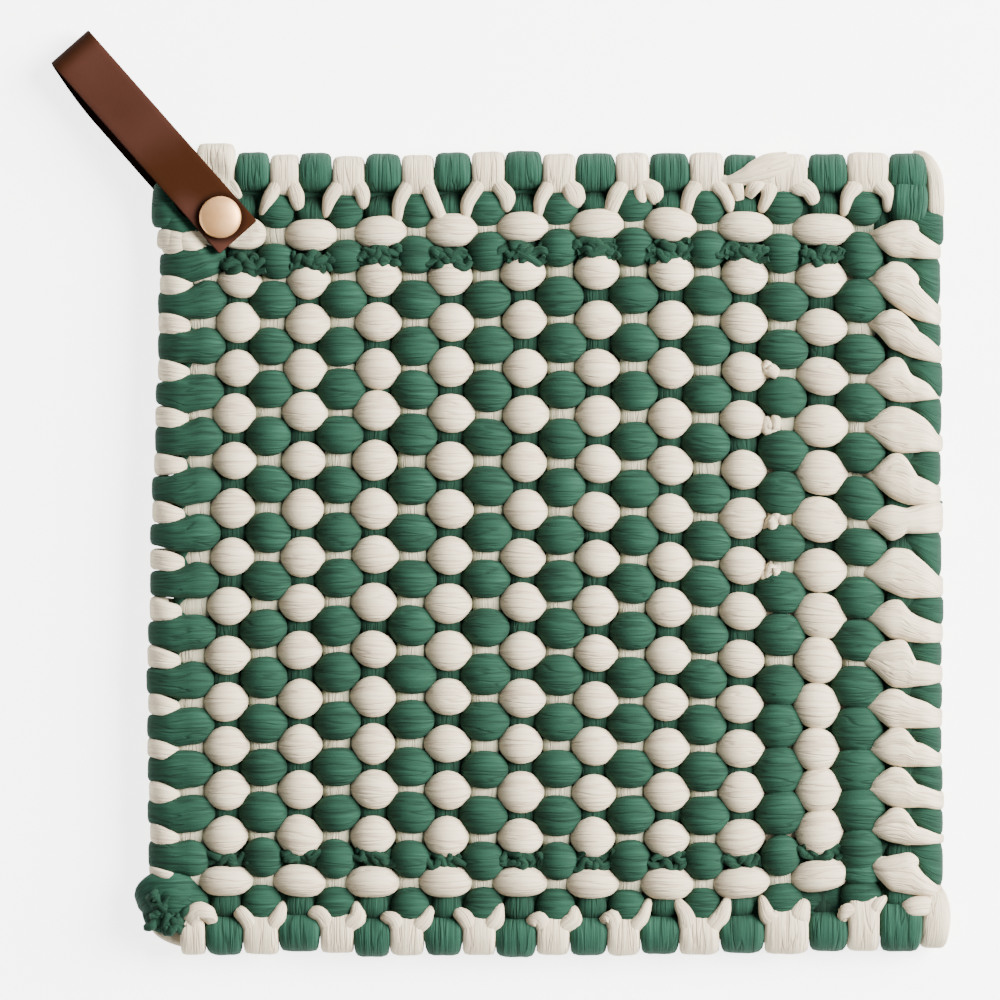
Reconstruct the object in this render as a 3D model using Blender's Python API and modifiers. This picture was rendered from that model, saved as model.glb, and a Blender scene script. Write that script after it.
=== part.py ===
"""A square pot holder woven from thick cotton loops, with a riveted leather hanging loop.

It lies face up. The origin is on the underside, where the middle warp crosses the middle weft.
+X runs along the wefts, +Y along the warps and away from the reader, +Z out of the front face.

The weave is counted in warps (c, across) and wefts (r, up), both 0 in the middle. On the front
a weft floats over every second warp and puffs out into a bead there. In between it dips under
a warp and shows a bead on the back, so the two faces carry the same beads, one step apart.
"""

from math import cos, pi, radians, sin, tan

import bmesh
import bpy
from mathutils import Matrix, Vector

# ---- sizes of the weave, in metres -------------------------------------------------------
THICKNESS = 0.0120  # from the flat of a back bead to the crown of a front bead
WARP_PITCH = 0.00918
WIDE_AFTER = 5  # warps right of this one were beaten less closely
WIDE_EXTRA = 0.00081  # what each of those adds to the pitch
WEFT_PITCH = 0.00587
FIRST_WARP, LAST_WARP = -10, 9
LAST_WEFT = 15  # wefts run from -15 to +15
FLARE = 0.17  # the square is wider at its lower edge, by this share of x for each metre down
LEAN = -0.0133  # and leans left going down
DROOP = 0.0053  # the middle wefts hang this much lower at the last warp
DROOP_FROM = -5  # the warp where the droop starts

# ---- the edges: loops bound off round the four sides -------------------------------------
LEFT_RIDGE, LEFT_RIM = -10.95, -11.33  # in warps
RIGHT_RIDGE, RIGHT_RIM = 9.82, 10.10
TOP_RIDGE, TOP_RIM = 16.55, 17.33  # in wefts
BOTTOM_RIDGE, BOTTOM_RIM = -16.45, -17.20
SCALLOP = 0.0006  # how far each bound loop stands out past the notch beside it
RIGHT_SLANT = 0.47  # the right-hand loops run down as they go out, this much for each metre out
LEFT_SLANT = 0.10
LEFT_TUCK = 0.030  # the left rim flares less than the weave: this share of y, below the middle
CORNERS = [  # which way the corner points, and its radius
    (Vector((-1, 1)), 0.009),
    (Vector((1, 1)), 0.009),
    (Vector((-1, -1)), 0.013),
    (Vector((1, -1)), 0.004),
]
KNOT_PUSH, KNOT_Y, KNOT_REACH = 0.0028, -0.085, 0.013  # the knot that swells the lower left corner

# ---- heights of the front face above the table, by the place round a bead ----------------
CROWN = THICKNESS  # the middle of a bead
SHOULDER = 0.0108  # half a weft above or below it
TIP = 0.0092  # half a warp beside it
HOLLOW = 0.0076  # where four crossings meet
TIE = 0.0082  # the warp that ties a weft down
LOOP_CREST = 0.0108  # bound loops, on the ridge round the edge
LOOP_NOTCH = 0.0086  # the notch between two bound loops
RIM_TOP, RIM_UNDER = 0.0080, 0.0034

# ---- heights of the underside: beads lie flat on the table, hollows are lifted -----------
UNDER_HOLLOW = 0.0026
UNDER_LOOP = 0.0010

# ---- the leather strap, folded over the top left corner ----------------------------------
STRAP_WIDTH = 0.0127
STRAP_THICK = 0.0020
STRAP_EDGE = 0.0003  # bevel of the cut edges
RIVET_AT = Vector((-0.0863, 0.0853))
STRAP_ALONG = Vector((-0.662, 0.750)).normalized()  # from the rivet out to the fold
STRAP_ACROSS = Vector((-STRAP_ALONG.y, STRAP_ALONG.x))
STRAP_END = -0.0067  # where both legs stop, inwards of the rivet
FOLD_REACH = 0.0583  # the outside of the fold, from the rivet
FRONT_LEG_Z, BACK_LEG_Z = 0.0110, 0.0022  # middle of the leather at the rivet
FOLD_RADIUS = 0.0035  # to the middle of the leather
FOLD_STEPS = 9  # odd, so that one flat lies square across the end of the loop
BACK_LEG_TURN = radians(2.8)  # the back leg runs out to the left of the front leg
LEG_STEPS = 12
FRONT_FALL = (0.022, 0.050)  # where the front leg comes down from the corner, from the rivet
BACK_FALL = (0.010, 0.034)
PINCH_MARGIN = 0.0052  # the weave is pressed down this far round the legs
PINCH_REACH = 0.034
GAP = 0.0003

# ---- the rivet ---------------------------------------------------------------------------
CAP_RADIUS, CAP_HEIGHT, CAP_LIP = 0.0053, 0.0024, 0.0005
POST_RADIUS = 0.0015
BACK_RADIUS, BACK_HEIGHT = 0.0045, 0.0009
ROUND_STEPS = 32

COLOURS = {  # base colour, roughness, metallic
    "cotton": ((0.055, 0.215, 0.130, 1), 0.90, 0.0),
    "leather": ((0.105, 0.030, 0.018, 1), 0.45, 0.0),
    "brass": ((0.80, 0.60, 0.42, 1), 0.35, 1.0),
}


# ---- helpers -----------------------------------------------------------------------------
def clear_scene():
    for old in list(bpy.data.objects):
        bpy.data.objects.remove(old)


def new_collection(name):
    made = bpy.data.collections.new(name)
    bpy.context.scene.collection.children.link(made)
    return made


def new_material(name):
    colour, roughness, metallic = COLOURS[name]
    material = bpy.data.materials.new(name)
    material.use_nodes = True
    shader = material.node_tree.nodes["Principled BSDF"]
    shader.inputs["Base Color"].default_value = colour
    shader.inputs["Roughness"].default_value = roughness
    shader.inputs["Metallic"].default_value = metallic
    material.diffuse_color = colour
    return material


def new_object(name, mesh, collection, material=None):
    made = bpy.data.objects.new(name, mesh)
    collection.objects.link(made)
    if material:
        mesh.materials.append(material)
    return made


def mesh_from(bm, name):
    mesh = bpy.data.meshes.new(name)
    bm.to_mesh(mesh)
    bm.free()
    return mesh


def smooth_step(t):
    t = min(1.0, max(0.0, t))
    return t * t * (3 - 2 * t)


def cut(target, cutter):
    boolean = target.modifiers.new("cut_" + cutter.name, "BOOLEAN")
    boolean.operation = "DIFFERENCE"
    boolean.object = cutter


# ---- the weave's plan --------------------------------------------------------------------
def lattice_lines(first, last, before, after):
    """Line positions: the two edge lines, then every half step of the weave, then two more."""
    halves = [k / 2 for k in range(2 * first - 1, 2 * last + 2)]
    return before + halves + after


COLUMNS = lattice_lines(FIRST_WARP, LAST_WARP, [LEFT_RIM, LEFT_RIDGE], [RIGHT_RIDGE, RIGHT_RIM])
ROWS = lattice_lines(-LAST_WEFT, LAST_WEFT, [BOTTOM_RIM, BOTTOM_RIDGE], [TOP_RIDGE, TOP_RIM])


def warp_x(c):
    return WARP_PITCH * c + WIDE_EXTRA * max(0.0, c - WIDE_AFTER)


def inside(r):
    """1 in the middle rows, falling to 0 at the first and the last weft."""
    return cos(pi * min(1.0, abs(r) / (LAST_WEFT + 1)) / 2) ** 2


def rounded(point, side, centre, radius):
    """The square past centre, towards a corner, drawn in to a quarter of a disc."""
    away = point - centre
    if away.x * side.x <= 0 or away.y * side.y <= 0:
        return point
    across_square = max(abs(away.x), abs(away.y))
    if across_square < radius / 20:
        return point
    return centre + away * (across_square / away.length)


def plan(c, r):
    """Where a crossing of the lattice lies in plan."""
    x, y = warp_x(c), WEFT_PITCH * r
    droop_share = max(0.0, c - DROOP_FROM) / (LAST_WARP - DROOP_FROM)
    y -= DROOP * min(1.0, droop_share) ** 2 * inside(r)
    if c > LAST_WARP:
        y -= RIGHT_SLANT * (x - warp_x(LAST_WARP)) * inside(r) ** 0.5
    if c < FIRST_WARP:
        y += LEFT_SLANT * (x - warp_x(FIRST_WARP)) * inside(r)
    x -= (FLARE * x + LEAN) * y
    if c < FIRST_WARP:
        tuck_share = (FIRST_WARP - c) / (FIRST_WARP - LEFT_RIM)
        x += LEFT_TUCK * max(0.0, -y) * tuck_share
    if r in (TOP_RIM, BOTTOM_RIM) and c == int(c):
        y += SCALLOP * (1 if r > 0 else -1)
    if c in (LEFT_RIM, RIGHT_RIM) and r == int(r):
        x += SCALLOP * (1 if c > 0 else -1)
    point = Vector((x, y))
    for side, radius in CORNERS:
        edge_x = warp_x(RIGHT_RIM if side.x > 0 else LEFT_RIM)
        edge_y = WEFT_PITCH * (TOP_RIM if side.y > 0 else BOTTOM_RIM)
        edge_x -= (FLARE * edge_x + LEAN) * edge_y
        if side.x < 0 and side.y < 0:
            edge_x -= LEFT_TUCK * edge_y
        centre = Vector((edge_x, edge_y)) - side * radius
        point = rounded(point, side, centre, radius)
    if c <= LEFT_RIDGE:
        point.x -= KNOT_PUSH * smooth_step(1 - abs(point.y - KNOT_Y) / KNOT_REACH)
    return point


# ---- the weave's two faces ---------------------------------------------------------------
def pinch(point):
    """0 away from the strap, 1 under its legs, where the leather presses the weave."""
    along = (point - RIVET_AT).dot(STRAP_ALONG)
    across = abs((point - RIVET_AT).dot(STRAP_ACROSS))
    near_side = smooth_step((STRAP_WIDTH / 2 + PINCH_MARGIN + 0.003 - across) / 0.003)
    near_end = smooth_step((along - STRAP_END + PINCH_MARGIN + 0.003) / 0.003)
    return near_side * near_end * (1 if along < PINCH_REACH else 0)


def is_crossing(c, r):
    return c == int(c) and r == int(r)


def front_bead(c, r):
    return is_crossing(c, r) and (c + r) % 2 == 1


def back_bead(c, r):
    return is_crossing(c, r) and (c + r) % 2 == 0


def front_height(c, r):
    if c in (LEFT_RIM, RIGHT_RIM) or r in (TOP_RIM, BOTTOM_RIM):
        return RIM_TOP
    if r in (TOP_RIDGE, BOTTOM_RIDGE):
        return LOOP_CREST if c == int(c) else LOOP_NOTCH
    if c == LEFT_RIDGE:
        return LOOP_CREST if r == int(r) else LOOP_NOTCH
    if c == RIGHT_RIDGE:
        return LOOP_CREST if r % 2 == 0 else LOOP_NOTCH
    if is_crossing(c, r):
        return CROWN if front_bead(c, r) else TIE
    if c == int(c):
        return SHOULDER
    return TIP if r == int(r) else HOLLOW


def back_height(c, r):
    if c in (LEFT_RIM, RIGHT_RIM) or r in (TOP_RIM, BOTTOM_RIM):
        return RIM_UNDER
    if c in (LEFT_RIDGE, RIGHT_RIDGE) or r in (TOP_RIDGE, BOTTOM_RIDGE):
        return UNDER_LOOP
    beside_bead = (c == int(c)) != (r == int(r))
    return 0.0 if back_bead(c, r) or beside_bead else UNDER_HOLLOW


def grid_face(bm, height):
    """One face of the mat: a grid placed by the weave's plan. Gives each point's (c, r)."""
    across, up = len(COLUMNS) - 1, len(ROWS) - 1
    grid = bmesh.ops.create_grid(bm, x_segments=across, y_segments=up, size=0.5)["verts"]
    places = {}
    for vert in grid:
        c = COLUMNS[round((vert.co.x + 0.5) * across)]
        r = ROWS[round((vert.co.y + 0.5) * up)]
        point = plan(c, r)
        vert.co = (*point, height(c, r, pinch(point)))
        places[vert] = (c, r)
    return places


def pressed_front(c, r, press):
    ceiling = FRONT_LEG_Z - STRAP_THICK / 2 - GAP - 0.0001
    free = front_height(c, r)
    return free + (min(free, ceiling) - free) * press


def lifted_back(c, r, press):
    floor = BACK_LEG_Z + STRAP_THICK / 2 + GAP + 0.0001
    free = back_height(c, r)
    return free + (max(free, floor) - free) * press


def crease_quads(bm, places, is_bead):
    """Splits the quads round each crossing: across a bead, which rounds it, or into a hollow."""
    for face in list({face for vert in places for face in vert.link_faces}):
        corners = list(face.verts)
        for k, vert in enumerate(corners):
            if vert.is_boundary or not is_crossing(*places[vert]):
                continue
            before, after, far = corners[k - 1], corners[(k + 1) % 4], corners[(k + 2) % 4]
            if is_bead(*places[vert]):
                bmesh.utils.face_split(face, before, after)
            else:
                bmesh.utils.face_split(face, vert, far)


def flat_bead_centres(places):
    """The middles of back beads whose four side points lie on the table with them."""
    centres = []
    for vert, place in places.items():
        if back_bead(*place) and max(edge.other_vert(vert).co.z for edge in vert.link_edges) == 0:
            centres.append(vert)
    return centres


def make_mat(collection, material):
    bm = bmesh.new()
    front = grid_face(bm, pressed_front)
    back = grid_face(bm, lifted_back)
    crease_quads(bm, front, front_bead)
    crease_quads(bm, back, back_bead)
    bmesh.ops.reverse_faces(bm, faces=list({face for vert in back for face in vert.link_faces}))
    bmesh.ops.bridge_loops(bm, edges=[edge for edge in bm.edges if edge.is_boundary])
    bmesh.ops.dissolve_verts(bm, verts=flat_bead_centres(back))
    mat = new_object("woven_mat", mesh_from(bm, "woven_mat"), collection, material)
    mat.data.shade_smooth()
    return mat


# ---- the strap ---------------------------------------------------------------------------
def leg_z(along, at_rivet, at_fold, fall):
    """The height of a leg's middle, from its level at the rivet to its level at the fold."""
    share = smooth_step((along - fall[0]) / (fall[1] - fall[0]))
    return at_rivet + (at_fold - at_rivet) * share


def strap_line():
    """(along, sideways, height) of the leather's middle, end to end: front leg, fold, back leg."""
    fold_centre = FOLD_REACH - FOLD_RADIUS - STRAP_THICK / 2
    fold_z = FOLD_RADIUS + STRAP_THICK / 2
    line = []
    for k in range(LEG_STEPS):
        along = STRAP_END + (fold_centre - STRAP_END) * k / LEG_STEPS
        line.append((along, 0.0, leg_z(along, FRONT_LEG_Z, fold_z + FOLD_RADIUS, FRONT_FALL)))
    for k in range(FOLD_STEPS + 1):
        turn = pi * k / FOLD_STEPS
        line.append((fold_centre + FOLD_RADIUS * sin(turn), 0.0, fold_z + FOLD_RADIUS * cos(turn)))
    for k in range(1, LEG_STEPS + 1):
        along = fold_centre - (fold_centre - STRAP_END) * k / LEG_STEPS
        sideways = (fold_centre - along) * tan(BACK_LEG_TURN)
        line.append((along, sideways, leg_z(along, BACK_LEG_Z, fold_z - FOLD_RADIUS, BACK_FALL)))
    return line


def make_strap(collection, material):
    line = strap_line()
    bm = bmesh.new()
    grid = bmesh.ops.create_grid(bm, x_segments=1, y_segments=len(line) - 1, size=0.5)["verts"]
    for vert in grid:
        along, sideways, height = line[round((vert.co.y + 0.5) * (len(line) - 1))]
        place = RIVET_AT + STRAP_ALONG * along + STRAP_ACROSS * (sideways + vert.co.x * STRAP_WIDTH)
        vert.co = (*place, height)
    strap = new_object("leather_loop", mesh_from(bm, "leather_loop"), collection, material)
    wall = strap.modifiers.new("leather", "SOLIDIFY")
    wall.thickness = STRAP_THICK
    wall.offset = 0
    wall.use_even_offset = True
    edges = strap.modifiers.new("cut_edges", "BEVEL")
    edges.width = STRAP_EDGE
    edges.segments = 1
    edges.limit_method = "ANGLE"
    edges.angle_limit = radians(60)
    return strap


# ---- the rivet ---------------------------------------------------------------------------
def turned(name, profile, collection, material):
    """A solid turned from a profile of (radius, height), read from the top down."""
    bm = bmesh.new()
    points = [bm.verts.new((radius, 0, height)) for radius, height in profile]
    for upper, lower in zip(points, points[1:]):
        bm.edges.new((upper, lower))
    solid = new_object(name, mesh_from(bm, name), collection, material)
    solid.location = (*RIVET_AT, 0)
    screw = solid.modifiers.new("turned", "SCREW")
    screw.steps = screw.render_steps = ROUND_STEPS
    screw.use_merge_vertices = True
    screw.merge_threshold = 0.00001
    return solid


def make_rivet(collection, material):
    cap_z = FRONT_LEG_Z + STRAP_THICK / 2 + GAP
    back_top = BACK_LEG_Z - STRAP_THICK / 2 - GAP
    dome_steps = 6
    dome = []
    for k in range(dome_steps + 1):
        turn = pi / 2 * k / dome_steps
        dome.append((CAP_RADIUS * sin(turn), cap_z + CAP_LIP + (CAP_HEIGHT - CAP_LIP) * cos(turn)))
    post = [(CAP_RADIUS * 0.96, cap_z), (POST_RADIUS, cap_z), (POST_RADIUS, back_top + GAP)]
    turned("rivet_cap", dome + post + [(0, back_top + GAP)], collection, material)
    lip = BACK_HEIGHT / 3
    disc = [(0, back_top), (BACK_RADIUS - lip, back_top), (BACK_RADIUS, back_top - lip)]
    turned("rivet_back", disc + [(BACK_RADIUS, 0), (0, 0)], collection, material)


def post_hole(collection):
    """A cutter through both legs and the weave, for the rivet's post."""
    bm = bmesh.new()
    reach = 2 * THICKNESS
    hole = POST_RADIUS + GAP
    bmesh.ops.create_cone(
        bm, cap_ends=True, segments=ROUND_STEPS, radius1=hole, radius2=hole, depth=2 * reach,
        matrix=Matrix.Translation((*RIVET_AT, THICKNESS / 2)),
    )
    cutter = new_object("post_hole", mesh_from(bm, "post_hole"), collection)
    cutter.hide_render = True
    cutter.display_type = "WIRE"
    return cutter


def main():
    clear_scene()
    parts, cutters = new_collection("pot_holder"), new_collection("cutters")
    brass = new_material("brass")
    mat = make_mat(parts, new_material("cotton"))
    strap = make_strap(parts, new_material("leather"))
    make_rivet(parts, brass)
    hole = post_hole(cutters)
    cut(mat, hole)
    cut(strap, hole)


main()
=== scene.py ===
# %% [markdown]
# # A woven pot holder with a leather loop
# The frame holds the solids of the pot holder at their real size and place. This script dresses
# them: it weaves the mat out of real strands, folds the leather, turns the rivet, and lights the
# whole thing from above. It changes no size.

# %% The frame
from math import cos, pi, radians, sin

import bmesh
import bpy
from mathutils import Matrix, Vector, noise


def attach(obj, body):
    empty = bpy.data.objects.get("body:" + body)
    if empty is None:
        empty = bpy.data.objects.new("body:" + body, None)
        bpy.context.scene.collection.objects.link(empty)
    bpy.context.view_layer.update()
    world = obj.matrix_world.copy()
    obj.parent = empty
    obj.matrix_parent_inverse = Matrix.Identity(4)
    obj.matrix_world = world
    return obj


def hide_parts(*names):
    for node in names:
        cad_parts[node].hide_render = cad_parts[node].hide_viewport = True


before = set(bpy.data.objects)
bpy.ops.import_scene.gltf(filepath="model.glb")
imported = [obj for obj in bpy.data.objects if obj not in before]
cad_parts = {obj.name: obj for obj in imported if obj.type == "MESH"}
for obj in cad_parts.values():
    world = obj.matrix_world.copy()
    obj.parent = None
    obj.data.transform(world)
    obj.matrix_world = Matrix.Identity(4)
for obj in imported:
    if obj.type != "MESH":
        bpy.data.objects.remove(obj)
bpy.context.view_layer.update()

BODY = "root"
MM = 0.001

# %% [markdown]
# ## The camera and the light
# The pot holder lies on white paper and is seen from straight above, through a long lens, so that
# nothing leans outwards. A large soft light on the right rounds the beads: their left sides fall
# into shade. A pale sky keeps those shadows open.

# %% The camera
PIXEL = 0.253 * MM  # what one pixel of the photograph's frame covers
MIDDLE_PIXEL = (562, 555)  # where the frame's origin lies in it
VIEW_WIDTH = 1000 * PIXEL
CAMERA_HEIGHT = 1.6
FOCUS_HEIGHT = 0.009  # the level that has that scale, near the crowns of the beads


def linked(name, data):
    """A new object in the scene."""
    thing = bpy.data.objects.new(name, data)
    bpy.context.scene.collection.objects.link(thing)
    return thing


def at_pixel(px, py, z):
    """The place in the frame that lies under a pixel of the photograph."""
    return Vector(((px - MIDDLE_PIXEL[0]) * PIXEL, (MIDDLE_PIXEL[1] - py) * PIXEL, z))


camera_data = bpy.data.cameras.new("camera")
camera_data.sensor_width = 36.0
camera_data.lens = camera_data.sensor_width * CAMERA_HEIGHT / VIEW_WIDTH
camera = linked("camera", camera_data)
camera.location = at_pixel(500, 500, CAMERA_HEIGHT + FOCUS_HEIGHT)
bpy.context.scene.camera = camera
print("lens", round(camera_data.lens), "mm")

# %% The light
KEY_PLACE, KEY_SIZE, KEY_POWER = Vector((1.23, 0.38, 0.87)), 1.05, 157.0
KEY_COLOUR = (1.0, 0.98, 0.95)
SKY_STRENGTH = 0.46

key_data = bpy.data.lights.new("key", "AREA")
key_data.size, key_data.energy, key_data.color = KEY_SIZE, KEY_POWER, KEY_COLOUR
key = linked("key", key_data)
key.location = KEY_PLACE
key.rotation_euler = (-KEY_PLACE).to_track_quat("-Z", "Y").to_euler()  # it faces the origin
sky = bpy.data.worlds.new("sky")
sky.use_nodes = True
sky.node_tree.nodes["Background"].inputs["Color"].default_value = (1, 1, 1, 1)
sky.node_tree.nodes["Background"].inputs["Strength"].default_value = SKY_STRENGTH
bpy.context.scene.world = sky
print("key light", round(KEY_PLACE.length, 2), "m away")

# %% [markdown]
# ## Writing node trees as sums
# A node tree does arithmetic one node at a time, which is long to write. So one small class wraps
# a socket: `a * 2 + b` then adds the Math nodes by itself. The same classes serve the shaders and
# the Geometry Nodes, and `Nodes.add` makes any node: its sockets are given as a dictionary, and its
# settings by name.


# %% A wire and a tree
class Wire:
    """A node's output. Arithmetic on it adds the nodes that work it out."""

    def __init__(self, nodes, socket):
        self.nodes, self.socket = nodes, socket

    def out(self, name):
        """Another output of the same node."""
        return Wire(self.nodes, self.socket.node.outputs[name])

    def __add__(self, other):
        return self.nodes.math("ADD", self, other)

    def __sub__(self, other):
        return self.nodes.math("SUBTRACT", self, other)

    def __mul__(self, other):
        return self.nodes.math("MULTIPLY", self, other)

    def __rsub__(self, other):
        return self.nodes.math("SUBTRACT", other, self)

    def __rtruediv__(self, other):
        return self.nodes.math("DIVIDE", other, self)


class Nodes:
    """A node tree that is written down as calls."""

    def __init__(self, tree):
        self.tree = tree

    def add(self, kind, sockets=(), out=0, **settings):
        """A node of a kind. Settings come first, as they may change its sockets."""
        node = self.tree.nodes.new(kind)
        for name, value in settings.items():
            setattr(node, name, value)
        for name, value in dict(sockets).items():
            if isinstance(value, Wire):
                self.feed(node, name, value)
            else:
                node.inputs[name].default_value = value
        return Wire(self, node.outputs[out]) if node.outputs else None

    def feed(self, node, name, wire):
        self.tree.links.new(wire.socket, node.inputs[name])

    def math(self, operation, *values):
        return self.add("ShaderNodeMath", dict(enumerate(values)), operation=operation)

    def vector(self, operation, *values, out=0):
        return self.add("ShaderNodeVectorMath", dict(enumerate(values)), out, operation=operation)

    def scaled(self, vector, factor):
        return self.add("ShaderNodeVectorMath", {0: vector, "Scale": factor}, operation="SCALE")

    def blend(self, share, a, b):
        """A mix of two colours."""
        return self.add("ShaderNodeMix", {0: share, 6: a, 7: b}, out=2, data_type="RGBA")

    def noise(self, place, scale, detail=2.0, rough=0.5):
        sockets = {"Vector": place, "Scale": scale, "Detail": detail, "Roughness": rough}
        return self.add("ShaderNodeTexNoise", sockets)

    def step(self, value, low, high):
        """0 below low, 1 above high, and smooth between them."""
        sockets = {"Value": value, "From Min": low, "From Max": high}
        return self.add("ShaderNodeMapRange", sockets, interpolation_type="SMOOTHSTEP")


def new_material(name, values):
    """A material with these values on its shader's sockets, its tree and its shader."""
    material = bpy.data.materials.new(name)
    material.use_nodes = True
    shader = material.node_tree.nodes["Principled BSDF"]
    for socket, value in values.items():
        shader.inputs[socket].default_value = value
    return material, Nodes(material.node_tree), shader


# %% [markdown]
# ## The floor
# A wide sheet of white paper. It glows a little by itself, so that it stays white all over, and
# takes the object's soft shadow.

# %% Floor
FLOOR_HALF, FLOOR_Z = 3.0, -0.05 * MM  # a hair under the feet, so that no two faces share a plane
FLOOR_GLOW = 3.6

paper = new_material("paper", {
    "Base Color": (0.95, 0.95, 0.95, 1),
    "Roughness": 0.9,
    "Emission Color": (1, 1, 1, 1),
    "Emission Strength": FLOOR_GLOW,
})[0]  # fmt: skip
floor_mesh = bpy.data.meshes.new("floor")
square_corners = ((-1, -1), (1, -1), (1, 1), (-1, 1))
floor_corners = [(x * FLOOR_HALF, y * FLOOR_HALF, FLOOR_Z) for x, y in square_corners]
floor_mesh.from_pydata(floor_corners, [], [(0, 1, 2, 3)])
floor_mesh.materials.append(paper)
floor = linked("floor", floor_mesh)
print("floor", 2 * FLOOR_HALF, "m wide")

# %% [markdown]
# ## The plan of the weave
# Places in the weave are counted in warps (c, across) and wefts (r, up), both 0 in the middle. One
# function turns such a count into metres, with the slant, the droop and the wider stitches of the
# real piece, so every strand that is laid later meets its neighbours where it should. These are
# the sizes that the solid mat was made from. On top of them come a few soft pulls, which move the
# rows by a millimetre or two, as a hand does when it tightens a loop.

# %% Sizes of the weave
WARP_PITCH, WEFT_PITCH = 9.18 * MM, 5.87 * MM
WIDE_AFTER, WIDE_EXTRA = 5, 0.81 * MM
FIRST_WARP, LAST_WARP, LAST_WEFT = -10, 9, 15
FLARE, LEAN = 0.17, -0.0133
DROOP, DROOP_FROM = 5.3 * MM, -5
LEFT_SLANT, LEFT_TUCK = 0.10, 0.030
LEFT_RIM, RIGHT_RIM, TOP_RIM, BOTTOM_RIM = -11.33, 10.10, 17.33, -17.20
THICKNESS = 12 * MM
MIDDLE_Z = THICKNESS / 2

# Soft pulls: round which crossing, how far in mm (right, up), and how many warps and wefts away
# they are still felt.
PULLS = (
    ((0, 0), (-0.3, 0.0), (40, 60)),
    ((-6, 6), (-1.6, 0.0), (6, 22)),
    ((-1, 17), (-1.9, 0.0), (6.5, 12)),
    ((8.5, 18), (1.7, 0.0), (3, 5)),
    ((2.5, -17), (-1.7, 0.0), (5, 3.5)),
    ((6.7, -17), (1.5, 0.0), (2.5, 3.5)),
    ((2, 13), (0.0, 1.6), (6, 4.5)),
    ((-6.5, 15), (0.0, -0.9), (4, 5)),
    ((0, -10), (0.0, -1.1), (14, 11)),
    ((8, -13.5), (0.0, 2.6), (3, 6)),
    ((-11.3, 14), (0.0, -3.6), (1.9, 4.5)),
    ((-11.3, -14), (0.0, 2.2), (1.9, 1.3)),
    ((-8, 13), (0.0, -1.5), (3.4, 1.9)),
    ((2.5, 8), (0.0, 1.2), (7.5, 6.5)),
    ((-6, 5.5), (0.0, 1.2), (7, 3.5)),
    ((-10.3, -5.5), (-0.8, -2.1), (5.5, 8)),
    ((7.3, -7), (-1.2, 0.4), (2.2, 8)),
    ((7, 2), (-0.4, 1.2), (2.2, 3)),
    ((3, -7), (-0.6, 0.0), (3, 5)),
    ((-2, -15.6), (0.0, -0.8), (9, 1.6)),
    ((-2, 15.6), (0.0, -0.5), (9, 1.6)),
)
UNEVEN = 0.3  # mm


def smooth_step(t):
    t = min(1.0, max(0.0, t))
    return t * t * (3 - 2 * t)


def warp_x(c):
    return WARP_PITCH * c + WIDE_EXTRA * max(0.0, c - WIDE_AFTER)


def inside(r):
    """1 in the middle rows, falling to 0 at the first and the last weft."""
    return cos(pi * min(1.0, abs(r) / (LAST_WEFT + 1)) / 2) ** 2


def chance(a, b, c):
    """A number from -1 to 1 that looks random and is the same each run."""
    place = (a * 1.71 + 3.1, b * 2.37 + 0.7, c * 3.13 + 9.2)  # off the noise's grid, where it is 0
    return max(-1.0, min(1.0, 2.2 * noise.noise(place)))  # stretched, as most of it is within 0.45


def pulled(c, r):
    """The sum of the soft pulls at a place, and a little unevenness of its own."""
    right, up = (UNEVEN * chance(c * 0.4, r * 0.3, seed) for seed in (1, 2))
    for (centre_c, centre_r), (pull_right, pull_up), (reach_c, reach_r) in PULLS:
        share = smooth_step(1 - abs(c - centre_c) / reach_c)
        share *= smooth_step(1 - abs(r - centre_r) / reach_r)
        right, up = right + pull_right * share, up + pull_up * share
    return Vector((right, up, 0)) * MM


def plan(c, r):
    """The place in the frame of a place in the weave, at table level."""
    x, y = warp_x(c), WEFT_PITCH * r
    droop_share = max(0.0, c - DROOP_FROM) / (LAST_WARP - DROOP_FROM)
    y -= DROOP * min(1.0, droop_share) ** 2 * inside(r)
    if c < FIRST_WARP:
        y += LEFT_SLANT * (x - warp_x(FIRST_WARP)) * inside(r)
    x -= (FLARE * x + LEAN) * y
    if c < FIRST_WARP:
        x += LEFT_TUCK * max(0.0, -y) * (FIRST_WARP - c) / (FIRST_WARP - LEFT_RIM)
    return Vector((x, y, 0)) + pulled(c, r)


print("mat", round(warp_x(RIGHT_RIM) - warp_x(LEFT_RIM), 4), "m wide")

# %% [markdown]
# ## From a drawn line to a strand of cotton
# Each strand starts as a line of points that carries its half width, its half depth and which way
# is across it. Geometry Nodes sweep a ring along the line and then set every point of the ring
# themselves, with soft folds that run along the strand, as jersey has when it is rolled into a
# loop. It is a better choice than a bevelled curve, whose section is the same all round. The tree
# also presses the strands flat on the table, and under the leather of the hanging loop.

# %% Where the leather lies
RIVET_AT = Vector((-86.3 * MM, 85.3 * MM, 0))
STRAP_ALONG = Vector((-0.662, 0.750, 0)).normalized()
STRAP_ACROSS = Vector((-STRAP_ALONG.y, STRAP_ALONG.x, 0))
STRAP_WIDTH, STRAP_THICK = 12.7 * MM, 2.0 * MM
STRAP_END, FOLD_REACH = -6.7 * MM, 58.3 * MM
FRONT_LEG_Z, BACK_LEG_Z = 11.0 * MM, 2.2 * MM
PRESS_SIDE = STRAP_WIDTH / 2 + 0.6 * MM  # fully pressed up to here, beside the strap's middle
PRESS_FADE = 3.5 * MM
PRESS_FROM = STRAP_END - 0.3 * MM
PRESS_GAP = 0.5 * MM
print("strap", round((FOLD_REACH - STRAP_END) / MM, 1), "mm long")


# %% The parts of the strand tree
FOLD_DEPTH, FOLD_COUNT, FOLD_STRETCH = 0.10, 2.0, 0.35


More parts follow.
